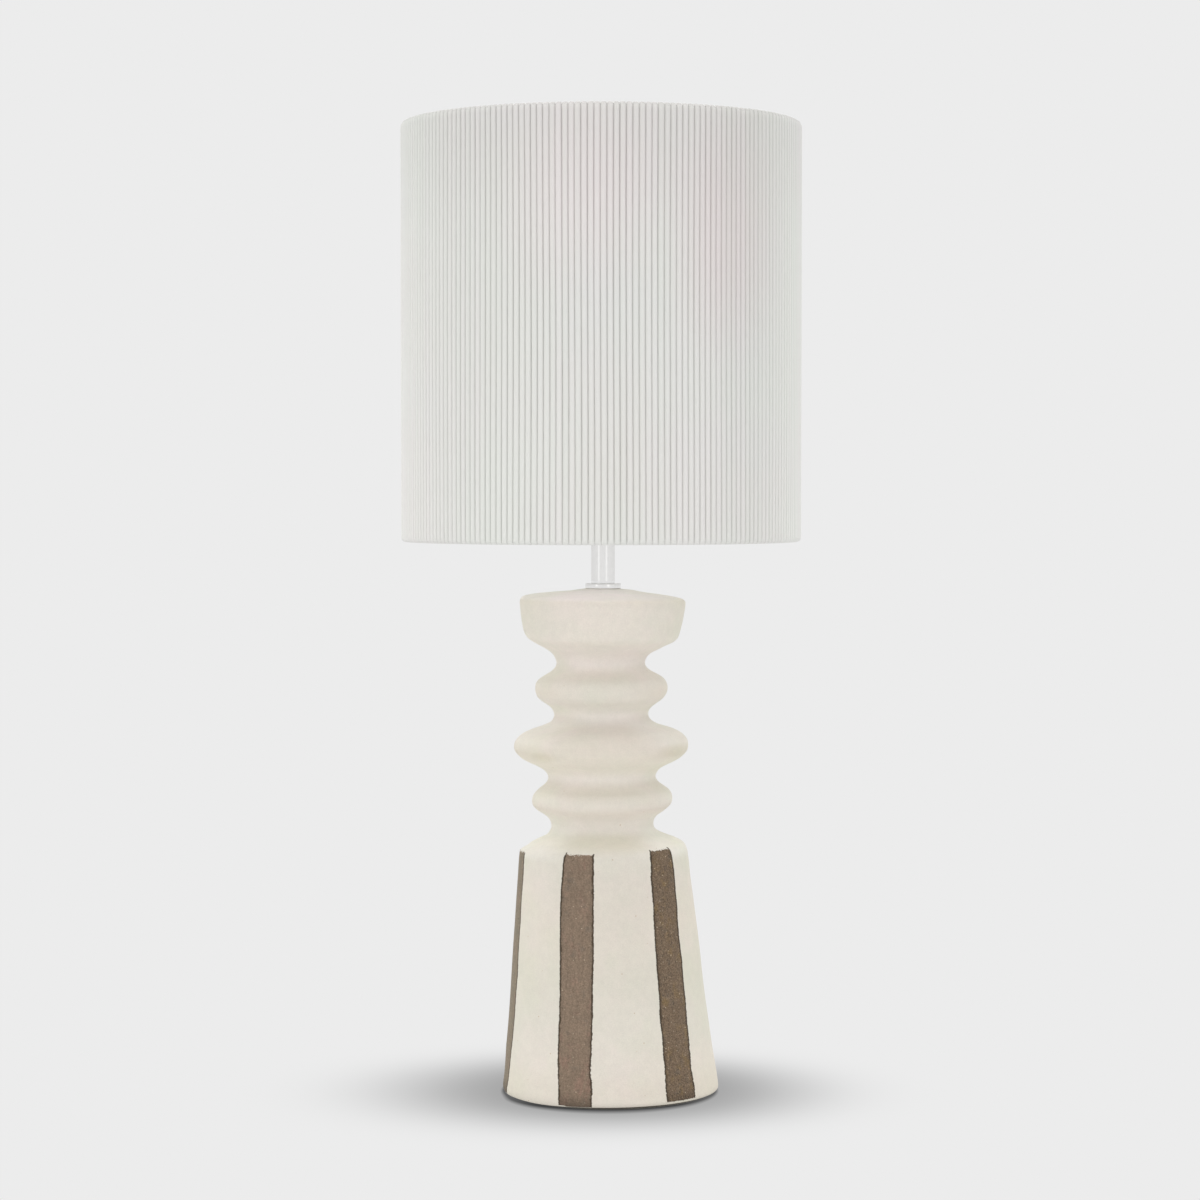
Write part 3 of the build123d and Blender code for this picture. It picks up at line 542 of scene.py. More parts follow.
for sx, sz, srx, srz, tint in ((59.0, 286.0, 17.0, 8.0, (0.935, 0.935, 0.890)), (-47.0, 281.0, 14.0, 7.0, (0.955, 0.950, 0.915)),
                               (47.0, 214.0, 20.0, 10.0, (1.045, 1.05, 1.075)), (40.0, 245.0, 16.0, 7.0, (0.965, 0.965, 0.945))):
    px_, py_, pz_ = m.split(P)                                                   # soft spots on the front at given places, three darker and one lighter
    spot = m.vec("LENGTH", m.join(m.mul(m.sub(px_, sx), 1.0 / srx), m.mul(m.sub(pz_, sz), 1.0 / srz), 0.0))
    spot = m.mul(m.step(spot, 1.0, 0.15), m.step(py_, 0.0, -8.0))
    cream = m.mix(spot, cream, m.mix(1.0, cream, tint, "MULTIPLY"))
speck = m.mul(m.step(d_spk, 0.035, 0.075, 1.0, 0.0), m.step(pick[0], 0.60, 0.62))
cream = m.mix(m.mul(speck, m.step(pick[1], 0.0, 1.0, 0.15, 0.75)), cream, (0.47, 0.33, 0.19))
d_sp2, c_sp2 = m.voronoi(m.vec("ADD", P, (9.0, 4.0, 2.0)), 0.34)
pick2 = m.split(c_sp2)
speck2 = m.mul(m.step(d_sp2, 0.05, 0.11, 1.0, 0.0), m.step(pick2[0], 0.72, 0.74))
cream = m.mix(m.mul(speck2, 0.35), cream, (0.60, 0.50, 0.39))

side, fill_t, ear_t, foot_t, tone_a = (m.attr(n) for n in ("side_mm", "fill_mm", "ear_mm", "foot_mm", "tone"))
zpos = m.split(P)[2]
n_slow = m.noise(P, 0.10, 2.0, 0.5)
n_edge = m.noise(m.vec("ADD", P, (55.0, 0.0, 21.0)), 0.42, 3.0, 0.6)
n_fine = m.noise(m.vec("ADD", P, (13.0, 31.0, 7.0)), 1.1, 2.0, 0.6)
low = m.step(zpos, 75.0, 15.0)
wob = m.mul(m.sub(n_slow, 0.5), 1.5)
wob = m.add(wob, m.mul(m.sub(n_edge, 0.5), m.lerp(low, 1.3, 2.6)))
wob = m.add(wob, m.mul(m.sub(n_fine, 0.5), m.lerp(low, 0.5, 1.6)))
side_w = m.add(side, wob)
gap = m.step(fill_t, 5.0, 0.5, 0.0, 0.9)
top_w = m.add(fill_t, m.add(m.mul(m.sub(n_edge, 0.5), 4.4), m.mul(m.sub(n_fine, 0.5), 1.8)))
foot_w = m.add(foot_t, m.mul(m.sub(n_edge, 0.5), 2.0))
foot_mask = m.step(foot_w, -0.2, 0.3)
fill_mask = m.mul(m.mul(m.step(m.sub(side_w, gap), -0.12, 0.22), m.step(top_w, -0.15, 0.35)), foot_mask)
line_n = m.noise(m.vec("ADD", P, (71.0, 5.0, 3.0)), 0.23, 3.0, 0.6)
line_w = m.step(line_n, 0.28, 0.70, 0.62, 1.45)
line_in = m.step(m.sub(side_w, line_w), 0.28, -0.12)
line_out = m.step(side_w, -0.50, -0.12)
line_top = m.step(m.add(ear_t, m.mul(m.sub(n_fine, 0.5), 2.0)), -0.3, 0.5)
line_mask = m.mul(m.mul(m.mul(line_in, line_out), line_top), foot_mask)
brown = m.mix(tone_a, (0.224, 0.163, 0.115), (0.157, 0.109, 0.070))
warm = m.mix(tone_a, (0.250, 0.162, 0.119), (0.196, 0.130, 0.060))             # iron-red and golden clouds
cool = m.mix(tone_a, (0.182, 0.142, 0.106), (0.122, 0.093, 0.066))
cloud = m.noise(m.vec("MULTIPLY", P, (1.0, 1.0, 0.7)), 0.10, 4.0, 0.65)
cloud2 = m.noise(m.vec("ADD", P, (40.0, 8.0, 130.0)), 0.13, 4.0, 0.65)
brown = m.mix(m.step(cloud, 0.50, 0.70, 0.0, 0.85), brown, warm)
brown = m.mix(m.step(cloud2, 0.52, 0.72, 0.0, 0.9), brown, cool)
brown = m.scale(brown, m.step(m.noise(P, 0.40, 4.0, 0.75), 0.30, 0.70, 0.89, 1.10))
brush = m.noise(m.vec("MULTIPLY", P, (1.0, 1.0, 0.16)), 0.42, 2.0, 0.6)
brown = m.scale(brown, m.step(brush, 0.30, 0.70, 0.91, 1.07))
rub = m.noise(m.vec("ADD", P, (17.0, 3.0, 60.0)), 0.85, 2.0, 0.75)
brown = m.scale(brown, m.step(rub, 0.34, 0.66, m.lerp(tone_a, 0.83, 0.64), m.lerp(tone_a, 1.17, 1.40)))
brown = m.mix(m.step(tone_a, -0.1, -0.6), brown, m.mix(1.0, brown, (1.05, 1.17, 1.14), "MULTIPLY"))   # one stripe leans to olive
edge_in = m.step(side_w, 3.2, 0.6, 0.0, m.lerp(tone_a, 0.16, 0.30))             # the brush left more at the borders
brown = m.scale(brown, m.sub(1.0, edge_in))
brown = m.scale(brown, m.step(zpos, 1.0, 14.5, 0.60, 1.0))
brown = m.scale(brown, m.step(zpos, 110.0, 170.0, 1.0, 0.968))
d3, c3 = m.voronoi(m.vec("ADD", P, (2.0, 91.0, 6.0)), 0.44)
pk3 = m.split(c3)
fleck = m.mul(m.step(d3, 0.08, 0.30, 1.0, 0.0), m.step(m.add(pk3[0], m.mul(tone_a, 0.10)), 0.88, 0.90))
brown = m.mix(m.mul(fleck, m.step(pk3[1], 0.0, 1.0, 0.15, 0.75)), brown, (0.62, 0.52, 0.39))
d5, c5 = m.voronoi(m.vec("ADD", P, (31.0, 14.0, 3.0)), 0.95)
pk5 = m.split(c5)
dust = m.mul(m.step(d5, 0.14, 0.46, 1.0, 0.0), m.step(m.add(pk5[0], m.mul(tone_a, 0.34)), 0.84, 0.90))
brown = m.mix(m.mul(dust, m.lerp(tone_a, 0.16, 0.34)), brown, (0.50, 0.40, 0.27))
d4, c4 = m.voronoi(m.vec("ADD", P, (22.0, 1.0, 46.0)), 0.24)
pk4 = m.split(c4)
pit = m.mul(m.step(d4, 0.08, 0.20, 1.0, 0.0), m.step(pk4[0], 0.66, 0.68))
brown = m.mix(m.mul(pit, 0.60), brown, (0.085, 0.062, 0.040))
paint = m.mix(fill_mask, cream, brown)
paint = m.mix(m.mul(line_mask, 0.95), paint, (0.056, 0.038, 0.023))
m.set("Base Color", paint)
m.set("Roughness", m.lerp(fill_mask, m.step(mid_n, 0.3, 0.7, 0.66, 0.78), 0.62))
height = m.add(m.mul(grain, 0.085), m.mul(m.noise(P, 0.33, 3.0, 0.55), 0.16))
height = m.sub(height, m.mul(speck, 0.05))
height = m.add(height, m.mul(fill_mask, 0.06))
height = m.sub(height, m.mul(pit, m.mul(fill_mask, 0.12)))
m.bump(height, 0.55)
give(ceramic, m)
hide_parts("ceramic_body")
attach(ceramic, "base")

# =============================================================== pad under the foot
fx, fr = 6.5, 85.0
pad_rings = []
pcol = 180
pth = np.arange(pcol) * 2 * math.pi / pcol
rough_edge = 0.22 * np.sin(9 * pth) + 0.16 * np.sin(23 * pth + 1) + 0.10 * np.sin(47 * pth + 2)
for r, z in ((1.0, 0.0), (20, 0.0), (45, 0.0), (66, 0.0), (82.6, 0.0), (84.4, 0.12), (84.95, 0.7), (85.0, 1.4),
             (84.4, 1.88), (82.5, 1.97), (60, 1.97), (30, 1.97), (1.0, 1.97)):
    e = rough_edge if r > 84 else 0.0
    pad_rings.append(np.stack([fx + (r + e) * np.cos(pth), (r + e) * np.sin(pth), np.full(pcol, z)], 1))
pv = np.vstack(pad_rings) * MM
felt = new_object("foot_felt", pv, grid_faces(len(pad_rings), pcol, close_rows=False, flip=False))
bm = bmesh.new()
bm.from_mesh(felt.data)
bmesh.ops.holes_fill(bm, edges=[e for e in bm.edges if e.is_boundary], sides=0)
bmesh.ops.recalc_face_normals(bm, faces=bm.faces)
bm.to_mesh(felt.data)
bm.free()
felt.data.polygons.foreach_set("use_smooth", np.ones(len(felt.data.polygons), bool))
sharp(felt, 50)
m = Mat("felt", rough=0.95, spec=0.1, Sheen_Weight=0.25, Sheen_Roughness=0.6)
fib = m.noise(m.vec("MULTIPLY", m.p, (1.0, 1.0, 1.0)), 1.7, 4.0, 0.7, 1.6)
fib2 = m.noise(m.p, 0.25, 3.0, 0.6, 0.8)
c = m.mix(m.step(fib, 0.3, 0.7), (0.056, 0.049, 0.035), (0.105, 0.093, 0.070))
c = m.scale(c, m.step(fib2, 0.3, 0.7, 0.85, 1.1))
m.set("Base Color", c)
m.bump(m.add(m.mul(fib, 0.35), m.mul(fib2, 0.25)), 0.9)
give(felt, m)
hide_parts("base_felt")
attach(felt, "base")

# =============================================================== pleated shade
PLEATS = 205
PROFILE = (0.0, 0.040, 0.090, 0.150, 0.28, 0.5, 0.72, 0.85, 0.91, 0.960)        # place across a pleat
INWARD = np.array((1.00, 0.88, 0.52, 0.25, 0.06, 0.0, 0.06, 0.25, 0.52, 0.88))  # share of the depth there
DEPTH = 1.55
CREST = 165.0
ROLL_R, ROLL_C = 3.65, 161.35
Z_LOW, Z_TOP = 456.2, 799.7
rows = []                     # radius, height, normal r, normal z, share of the pleat's depth
for r, z in ((158.6, 468.6), (158.35, 468.9), (158.0, 468.2), (157.7, 464.5)):
    rows.append((r, z, -1.0, 0.0, -0.12))
for a, amp in ((180, 0.14), (225, 0.16), (258, 0.20), (285, 0.22), (308, 0.32), (330, 0.62), (350, 0.93)):
    t = math.radians(a)
    rows.append((ROLL_C + ROLL_R * math.cos(t), Z_LOW + ROLL_R + ROLL_R * math.sin(t), math.cos(t), math.sin(t), amp))
for z in np.linspace(Z_LOW + 4.6, Z_TOP - 5.2, 21):
    rows.append((CREST, float(z), 1.0, 0.0, 1.0))
for a, amp in ((14, 0.97), (38, 0.92), (62, 0.85), (84, 0.72), (108, 0.52), (140, 0.30), (180, 0.16)):
    t = math.radians(a)
    rows.append((ROLL_C + ROLL_R * math.cos(t), Z_TOP - ROLL_R + ROLL_R * math.sin(t), math.cos(t), math.sin(t), amp))
for r, z in ((157.7, 791.5), (158.0, 787.9), (158.35, 787.1), (158.6, 787.5)):
    rows.append((r, z, -1.0, 0.0, -0.12))
rows = np.array(rows)
nrow, nsamp = len(rows), len(PROFILE)
k = np.arange(PLEATS)
pitch = 2 * math.pi / PLEATS
jit = rng.normal(0, 0.014, PLEATS)
w_amp = rng.uniform(0.3, 1.0, (3, PLEATS))
w_ph = rng.uniform(0, 2 * math.pi, (3, PLEATS))
w_len = np.stack([rng.uniform(150, 320, PLEATS), rng.uniform(60, 110, PLEATS), rng.uniform(22, 40, PLEATS)])
depth_k = 1 + rng.normal(0, 0.05, PLEATS)
lift_k = rng.normal(0, 0.05, PLEATS)
slant_k = rng.normal(0, 0.09, PLEATS)
tone_k = np.clip(rng.normal(0, 0.5, PLEATS), -1.2, 1.2)
zcol = rows[:, 1][:, None]
wander = (0.012 * w_amp[0] * np.sin(2 * math.pi * zcol / w_len[0] + w_ph[0])
          + 0.007 * w_amp[1] * np.sin(2 * math.pi * zcol / w_len[1] + w_ph[1])
          + 0.004 * w_amp[2] * np.sin(2 * math.pi * zcol / w_len[2] + w_ph[2]))
common = 0.07 * np.sin(2 * math.pi * zcol / 520.0 + 3.0 * np.sin(k[None] * pitch * 2 + 0.8)) * np.ones((1, PLEATS))
FIRST = math.radians(-90.0) - 0.46 / 165.0
valley = FIRST + pitch * (k[None] + jit[None] + wander + common)
valley_next = np.concatenate([valley[:, 1:], valley[:, :1] + 2 * math.pi], 1)
dk = depth_k[None] * (1 + 0.06 * np.sin(zcol / 37.0 + w_ph[0][None]))
dk_next = np.concatenate([dk[:, 1:], dk[:, :1]], 1)
cols_a, cols_d = [], []
for t, inn in zip(PROFILE, INWARD):
    cols_a.append(valley + (valley_next - valley) * t)
    d = inn * (dk * (1 - t) + dk_next * t) * DEPTH
    d = d + (1 - inn) * (lift_k[None] + slant_k[None] * (t - 0.5) * 2 * 0.6)
    cols_d.append(np.broadcast_to(d, valley.shape))
A = np.stack(cols_a, 2).reshape(nrow, -1)
Dp = np.stack(cols_d, 2).reshape(nrow, -1)
inward = Dp * rows[:, 4][:, None]
R = rows[:, 0][:, None] - inward * rows[:, 2][:, None]
Z = rows[:, 1][:, None] - inward * rows[:, 3][:, None]
sv = np.stack([R * np.cos(A), R * np.sin(A), Z], 2).reshape(-1, 3) * MM
ncol = PLEATS * nsamp
shade = new_object("shade_pleated_cover", sv, grid_faces(nrow, ncol))
put_attr(shade, "crest", np.broadcast_to(1 - INWARD, (nrow, PLEATS, nsamp)).reshape(-1))
put_attr(shade, "rib", np.broadcast_to(tone_k[None, :, None], (nrow, PLEATS, nsamp)).reshape(-1))

m = Mat("pleated_fabric", rough=0.88, spec=0.18, Sheen_Weight=0.12, Sheen_Roughness=0.45)
P = m.p
zpos = m.split(P)[2]
patch = m.noise(P, 0.0065, 1.0, 0.5)
patch2 = m.noise(m.vec("ADD", P, (500.0, 120.0, 40.0)), 0.0085, 1.0, 0.5)
base = m.mix(m.step(patch, 0.42, 0.66), (0.730, 0.738, 0.711), (0.734, 0.726, 0.708))
base = m.mix(m.step(patch2, 0.5, 0.7, 0.0, 0.35), base, (0.727, 0.727, 0.722))
fx_, fy_, fz_ = m.split(P)
front_side = m.step(fy_, 0.0, -40.0)


def cloud(x0, z0, rx, rz):
    """A soft, faintly tinted area on the front of the shade."""
    near_ = m.vec("LENGTH", m.join(m.mul(m.sub(fx_, x0), 1.0 / rx), m.mul(m.sub(fz_, z0), 1.0 / rz), 0.0))
    return m.mul(m.step(near_, 1.0, 0.1), front_side)


base = m.mix(cloud(-20.0, 745.0, 95.0, 120.0), base, m.mix(1.0, base, (1.0, 0.948, 0.972), "MULTIPLY"))
base = m.scale(base, m.add(1.0, m.mul(cloud(-20.0, 745.0, 85.0, 110.0), 0.040)))
base = m.mix(cloud(98.0, 700.0, 58.0, 130.0), base, m.mix(1.0, base, (1.0, 0.935, 0.960), "MULTIPLY"))
base = m.mix(cloud(8.0, 500.0, 60.0, 90.0), base, m.mix(1.0, base, (0.992, 0.992, 0.985), "MULTIPLY"))
rib = m.attr("rib")
base = m.scale(base, m.add(1.0, m.mul(rib, 0.008)))
tint = m.mix(m.step(rib, -1.0, 1.0), (0.996, 1.003, 0.995), (1.004, 0.997, 1.002))
base = m.mix(1.0, base, tint, "MULTIPLY")
# painted light and shade: lighter towards the bottom, where the floor's bounce falls, and darker towards the top
base = m.scale(base, m.step(zpos, 456.0, 800.0, 1.02, 0.965, smooth=False))
base = m.scale(base, m.step(zpos, 690.0, 800.0, 1.0, 0.960))
# painted shade in two upright bands at x about ±117 mm, deeper at +X
quarter_painted_shade = m.step(m.math("ABSOLUTE", m.sub(m.mul(fx_, 1.0 / 165.0), 0.71)), 0.26, 0.04)
base = m.scale(base, m.sub(1.0, m.mul(quarter_painted_shade, 0.034)))
quarter_painted_shade = m.step(m.math("ABSOLUTE", m.sub(m.mul(fx_, 1.0 / 165.0), -0.72)), 0.24, 0.04)
base = m.scale(base, m.sub(1.0, m.mul(quarter_painted_shade, 0.020)))
base = m.scale(base, m.step(zpos, 796.0, 799.2, 1.0, 0.77))                       # painted shade on the fold over the top ring, against the overhead light there
crest = m.attr("crest")
# painted shade in the pleat valleys
base = m.scale(base, m.step(crest, 0.0, 0.80, 0.86, 1.0))
weave = m.noise(m.vec("MULTIPLY", P, (1.0, 1.0, 0.55)), 2.6, 3.0, 0.6)
thread = m.noise(m.vec("MULTIPLY", P, (1.0, 1.0, 0.06)), 1.9, 2.0, 0.5)
base = m.scale(base, m.step(weave, 0.3, 0.7, 0.985, 1.012))
m.set("Base Color", base)
m.bump(m.add(m.mul(weave, 0.06), m.mul(thread, 0.05)), 0.6)
give(shade, m)
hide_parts("shade_cover", "top_hem", "bottom_hem")
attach(shade, "shade")
bm = bmesh.new()
bm.from_mesh(shade.data)
SHADE_AREA = sum(f.calc_area() for f in bm.faces)
bm.free()
print("shade area", SHADE_AREA)

# =============================================================== neck: flange and tube
NECK_X = 1.5            # the tube stands a little to the right, by the play round the rod
NSEG = 128
nth = np.arange(NSEG) * 2 * math.pi / NSEG


def turned(name, profile, x, closed=True):
    """A turned ring: (radius, height) round the outside, then back along the inside."""
    rows_ = [np.stack([x + r * np.cos(nth), r * np.sin(nth), np.full(NSEG, z)], 1) for r, z in profile]
    ob = new_object(name, np.vstack(rows_) * MM, grid_faces(len(rows_), NSEG, close_rows=closed))
    bm = bmesh.new()
    bm.from_mesh(ob.data)
    bmesh.ops.recalc_face_normals(bm, faces=bm.faces)
    bm.to_mesh(ob.data)
    bm.free()
    ob.data.polygons.foreach_set("use_smooth", np.ones(len(ob.data.polygons), bool))
    sharp(ob, 40)
    return ob


flange = turned("neck_flange_turned", [
    (9.2, 421.0), (9.2, 421.55), (10.2, 421.6), (12.6, 421.6), (14.2, 421.58), (14.45, 421.52), (14.6, 421.40),
    (14.68, 421.2), (14.70, 421.0), (14.70, 419.4), (14.70, 418.0), (14.67, 417.7), (14.55, 417.45), (14.2, 417.34),
    (13.6, 417.3), (12.0, 417.3), (11.2, 417.32), (11.0, 417.5), (10.95, 418.1), (10.6, 418.2), (9.2, 418.2)], NECK_X)
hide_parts("neck_flange")
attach(flange, "base")
tube_rows = [(9.80, 421.6), (9.84, 421.63), (9.85, 421.7)]
tube_rows += [(9.85, z) for z in np.linspace(424.0, 491.5, 12)]
tube_rows += [(9.83, 493.0), (9.70, 493.3), (9.4, 493.4), (9.0, 493.35), (8.85, 493.0)]
tube_rows += [(8.85, z) for z in np.linspace(491.0, 424.0, 4)] + [(8.9, 421.8), (9.2, 421.6)]
neck = turned("neck_tube_polished", tube_rows, NECK_X)
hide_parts("neck_tube")
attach(neck, "base")


def metal(name, colour, rough, brushed=0.0, axis=(0.0, 0.0, 0.0)):
    mm = Mat(name, rough=rough, metal=1.0)
    smear = mm.noise(mm.p, 0.22, 3.0, 0.6)
    fine = mm.noise(mm.vec("MULTIPLY", mm.p, axis) if any(axis) else mm.p, 3.0, 3.0, 0.6)
    mm.set("Base Color", mm.scale(colour_node(mm, colour, smear), mm.step(fine, 0.2, 0.8, 0.97, 1.02)))
    mm.set("Roughness", mm.step(mm.add(mm.mul(smear, 0.6), mm.mul(fine, 0.4)), 0.3, 0.7, rough * 0.8, rough * 1.25))
    if brushed:
        mm.bump(mm.mul(fine, brushed), 0.5)
    return mm


def colour_node(mm, colour, f):
    a = tuple(v * 0.985 for v in colour)
    b = tuple(min(1.0, v * 1.012) for v in colour)
    return mm.mix(mm.step(f, 0.3, 0.7), a, b)


nickel = metal("polished_nickel", (0.86, 0.857, 0.855), 0.12, 0.004, (1.0, 1.0, 0.05))
plate = metal("nickel_plate", (0.70, 0.68, 0.65), 0.22, 0.006)
zinc = metal("zinc_plated_steel", (0.62, 0.62, 0.60), 0.36, 0.02)
brass = metal("contact_brass", (0.83, 0.62, 0.30), 0.26, 0.01)

thread = Mat("threaded_steel", rough=0.33, metal=1.0)
zz_ = thread.split(thread.p)[2]
turn = thread.math("ARCTAN2", thread.split(thread.p)[1], thread.split(thread.p)[0])
saw = thread.math("PINGPONG", thread.add(thread.mul(zz_, 1.0 / 0.94), thread.mul(turn, 1.0 / (2 * math.pi))), 0.5)
# painted shade in the thread's grooves, following the bumped thread
thread.set("Base Color", thread.scale(colour_node(thread, (0.60, 0.59, 0.56), thread.noise(thread.p, 0.3, 3.0, 0.6)),
                                      thread.step(saw, 0.0, 0.5, 0.78, 1.04)))
thread.bump(thread.mul(saw, 0.55), 1.0)

cork = Mat("cork", rough=0.9, spec=0.15)
dd, cc = cork.voronoi(cork.p, 0.75)
cells = cork.split(cc)
ck = cork.mix(cells[0], (0.33, 0.20, 0.105), (0.52, 0.35, 0.20))
ck = cork.mix(cork.step(cells[1], 0.86, 0.88), ck, (0.12, 0.065, 0.035))
ck = cork.scale(ck, cork.step(cork.noise(cork.p, 2.2, 3.0, 0.6), 0.3, 0.7, 0.88, 1.08))
cork.set("Base Color", ck)
cork.bump(cork.mul(dd, 0.2), 0.6)

black = Mat("black_phenolic", rough=0.34, spec=0.5)
n1 = black.noise(black.p, 0.5, 4.0, 0.6)
black.set("Base Color", black.mix(black.step(n1, 0.3, 0.7), (0.014, 0.013, 0.012), (0.026, 0.024, 0.022)))
black.set("Roughness", black.step(black.noise(black.p, 1.5, 3.0, 0.6), 0.3, 0.7, 0.28, 0.42))
black.bump(black.mul(black.noise(black.p, 1.2, 3.0, 0.6), 0.03), 0.6)

rubber = Mat("rubber", rough=0.62, spec=0.4)
n1 = rubber.noise(rubber.p, 0.7, 4.0, 0.6)
rubber.set("Base Color", rubber.mix(rubber.step(n1, 0.3, 0.7), (0.030, 0.029, 0.027), (0.055, 0.052, 0.048)))
rubber.bump(rubber.mul(rubber.noise(rubber.p, 2.5, 3.0, 0.6), 0.03), 0.7)

fibre = Mat("insulating_fibre", rough=0.85, spec=0.2)
n1 = fibre.noise(fibre.vec("MULTIPLY", fibre.p, (1.0, 1.0, 0.35)), 1.3, 4.0, 0.65)
fibre.set("Base Color", fibre.mix(fibre.step(n1, 0.3, 0.7), (0.36, 0.235, 0.13), (0.50, 0.35, 0.21)))
fibre.bump(fibre.mul(n1, 0.10), 0.6)

cap = Mat("bulb_screw_cap", rough=0.24, metal=1.0)
xyz = cap.split(cap.p)
turn = cap.math("ARCTAN2", xyz[1], xyz[0])
ph = cap.add(cap.mul(xyz[2], 1.0 / 3.629), cap.mul(turn, -1.0 / (2 * math.pi)))
wave = cap.math("SINE", cap.mul(ph, 2 * math.pi))
# painted shade in the thread's grooves, following the bumped thread
cap.set("Base Color", cap.scale(colour_node(cap, (0.76, 0.75, 0.73), cap.noise(cap.p, 0.4, 3.0, 0.6)),
                                cap.step(wave, -1.0, 1.0, 0.86, 1.03)))
cap.bump(cap.mul(wave, 0.55), 1.0)

shell_in = Mat("screw_shell_brass", rough=0.28, metal=1.0)
xyz = shell_in.split(shell_in.p)
turn = shell_in.math("ARCTAN2", xyz[1], xyz[0])
ph = shell_in.add(shell_in.mul(xyz[2], 1.0 / 3.629), shell_in.mul(turn, -1.0 / (2 * math.pi)))
wave = shell_in.math("SINE", shell_in.mul(ph, 2 * math.pi))
# painted shade in the thread's grooves, following the bumped thread
shell_in.set("Base Color", shell_in.scale(colour_node(shell_in, (0.80, 0.60, 0.30), shell_in.noise(shell_in.p, 0.4, 3.0, 0.6)),
                                          shell_in.step(wave, -1.0, 1.0, 0.84, 1.03)))
shell_in.bump(shell_in.mul(wave, 0.4), 1.0)

collar = Mat("bulb_collar", rough=0.38, spec=0.45)
n1 = collar.noise(collar.p, 0.5, 3.0, 0.6)
collar.set("Base Color", collar.mix(collar.step(n1, 0.3, 0.7), (0.775, 0.770, 0.745), (0.800, 0.795, 0.775)))
collar.bump(collar.mul(collar.noise(collar.p, 2.2, 2.0, 0.5), 0.02), 0.5)

diffuser = Mat("bulb_diffuser", rough=0.42, spec=0.4, Subsurface_Weight=0.15, Subsurface_Scale=0.004)
n1 = diffuser.noise(diffuser.p, 0.09, 2.0, 0.5)
diffuser.set("Base Color", diffuser.mix(diffuser.step(n1, 0.3, 0.7), (0.835, 0.832, 0.815), (0.860, 0.858, 0.842)))
diffuser.bump(diffuser.mul(diffuser.noise(diffuser.p, 3.0, 2.0, 0.5), 0.012), 0.5)

board = Mat("bulb_board", rough=0.45, spec=0.4)
dd, cc = board.voronoi(board.p, 0.22)
board.set("Base Color", board.mix(board.step(dd, 0.24, 0.30), (0.80, 0.62, 0.16), (0.80, 0.80, 0.78)))
board.bump(board.mul(dd, 0.1), 0.4)

liner = Mat("shade_liner", rough=0.50, spec=0.35)
n1 = liner.noise(liner.vec("MULTIPLY", liner.p, (1.0, 1.0, 0.4)), 0.02, 3.0, 0.5)
n2 = liner.noise(liner.p, 0.9, 3.0, 0.6)
lc = liner.mix(liner.step(n1, 0.35, 0.65), (0.800, 0.795, 0.770), (0.822, 0.815, 0.795))
lc = liner.scale(lc, liner.step(n2, 0.3, 0.7, 0.985, 1.01))
liner.set("Base Color", lc)
liner.bump(liner.mul(n2, 0.05), 0.5)

wire = Mat("white_enamel_wire", rough=0.34, spec=0.5)
n1 = wire.noise(wire.p, 0.35, 3.0, 0.6)
wire.set("Base Color", wire.mix(wire.step(n1, 0.3, 0.7), (0.770, 0.765, 0.745), (0.815, 0.810, 0.795)))
wire.bump(wire.mul(wire.noise(wire.p, 1.1, 3.0, 0.6), 0.04), 0.6)

FINISH = {
    "floor_gasket": cork, "neck_gasket": cork, "floor_washer": zinc, "lock_washer": zinc, "rod_nut": zinc,
    "threaded_rod": thread, "rod_bushing": black, "inlet_grommet": rubber, "neck_cap": nickel, "harp_saddle": plate, "socket_cap": plate, "socket_set_screw": zinc,
    "socket_shell": plate, "socket_sleeve": fibre, "socket_block": black, "screw_shell": shell_in,
    "centre_contact": brass, "terminal_screw_a": brass, "terminal_screw_b": plate, "switch_shaft": brass,
    "switch_knob": black, "bulb_tip": brass, "bulb_insulator": black, "bulb_screw_cap": cap,
    "bulb_collar": collar, "bulb_board": board, "bulb_diffuser": diffuser, "harp_bow": plate,
    "ferrule_left": plate, "ferrule_right": plate, "harp_stud": brass, "spider_hub": plate,
    "spider_arm_a": wire, "spider_arm_b": wire, "spider_arm_c": wire, "top_ring": wire, "bottom_ring": wire,
    "shade_liner": liner, "finial_insert": brass, "finial_knob": nickel,
}
for name, mat in FINISH.items():
    give(nodes[name], mat)
for ob in (flange, neck):
    give(ob, nickel)
for name, ob in nodes.items():
    if not ob.hide_render and name not in FINISH:
        raise SystemExit("no finish for " + name)

# =============================================================== floor and light
BOUNCE, BOUNCE_NEAR = 0.88, 0.09                # what the floor gives back to the lamp, in all and near its foot
UNI, LEFT, RIGHT, ABOVE, FRONT_LOW, BACK = 0.06, 0.86, 0.67, 0.50, 1.17, 0.90
FRONT_HIGH = -0.22
ZENITH = 2.2                                    # the soft box overhead, which lights the dome through the shade
BANDS = ((-42.0, 0.25), (34.0, 0.22))           # two upright strips, only in reflections
size = 9.0
bm = bmesh.new()
bmesh.ops.create_grid(bm, x_segments=6, y_segments=6, size=size)
me = bpy.data.meshes.new("floor")
bm.to_mesh(me)
bm.free()
floor = bpy.data.objects.new("floor", me)
bpy.context.scene.collection.objects.link(floor)
fm = bpy.data.materials.new("pale_floor")
fm.use_nodes = True
t = Tree(fm.node_tree)
out = t.node("ShaderNodeOutputMaterial")
tc = t.node("ShaderNodeTexCoord")
rel = t.vec("MULTIPLY", t.vec("SUBTRACT", tc.outputs["Object"], (0.006, 0.0, 0.0)), (1.0, 1.0, 0.0))
rx, ry, _ = t.split(rel)
length = t.math("MAXIMUM", t.vec("LENGTH", rel), 1e-4)
dist = t.sub(length, 0.0897)
cos_a, sin_a = t.math("DIVIDE", rx, length), t.math("DIVIDE", ry, length)
sin_2 = t.mul(sin_a, sin_a)
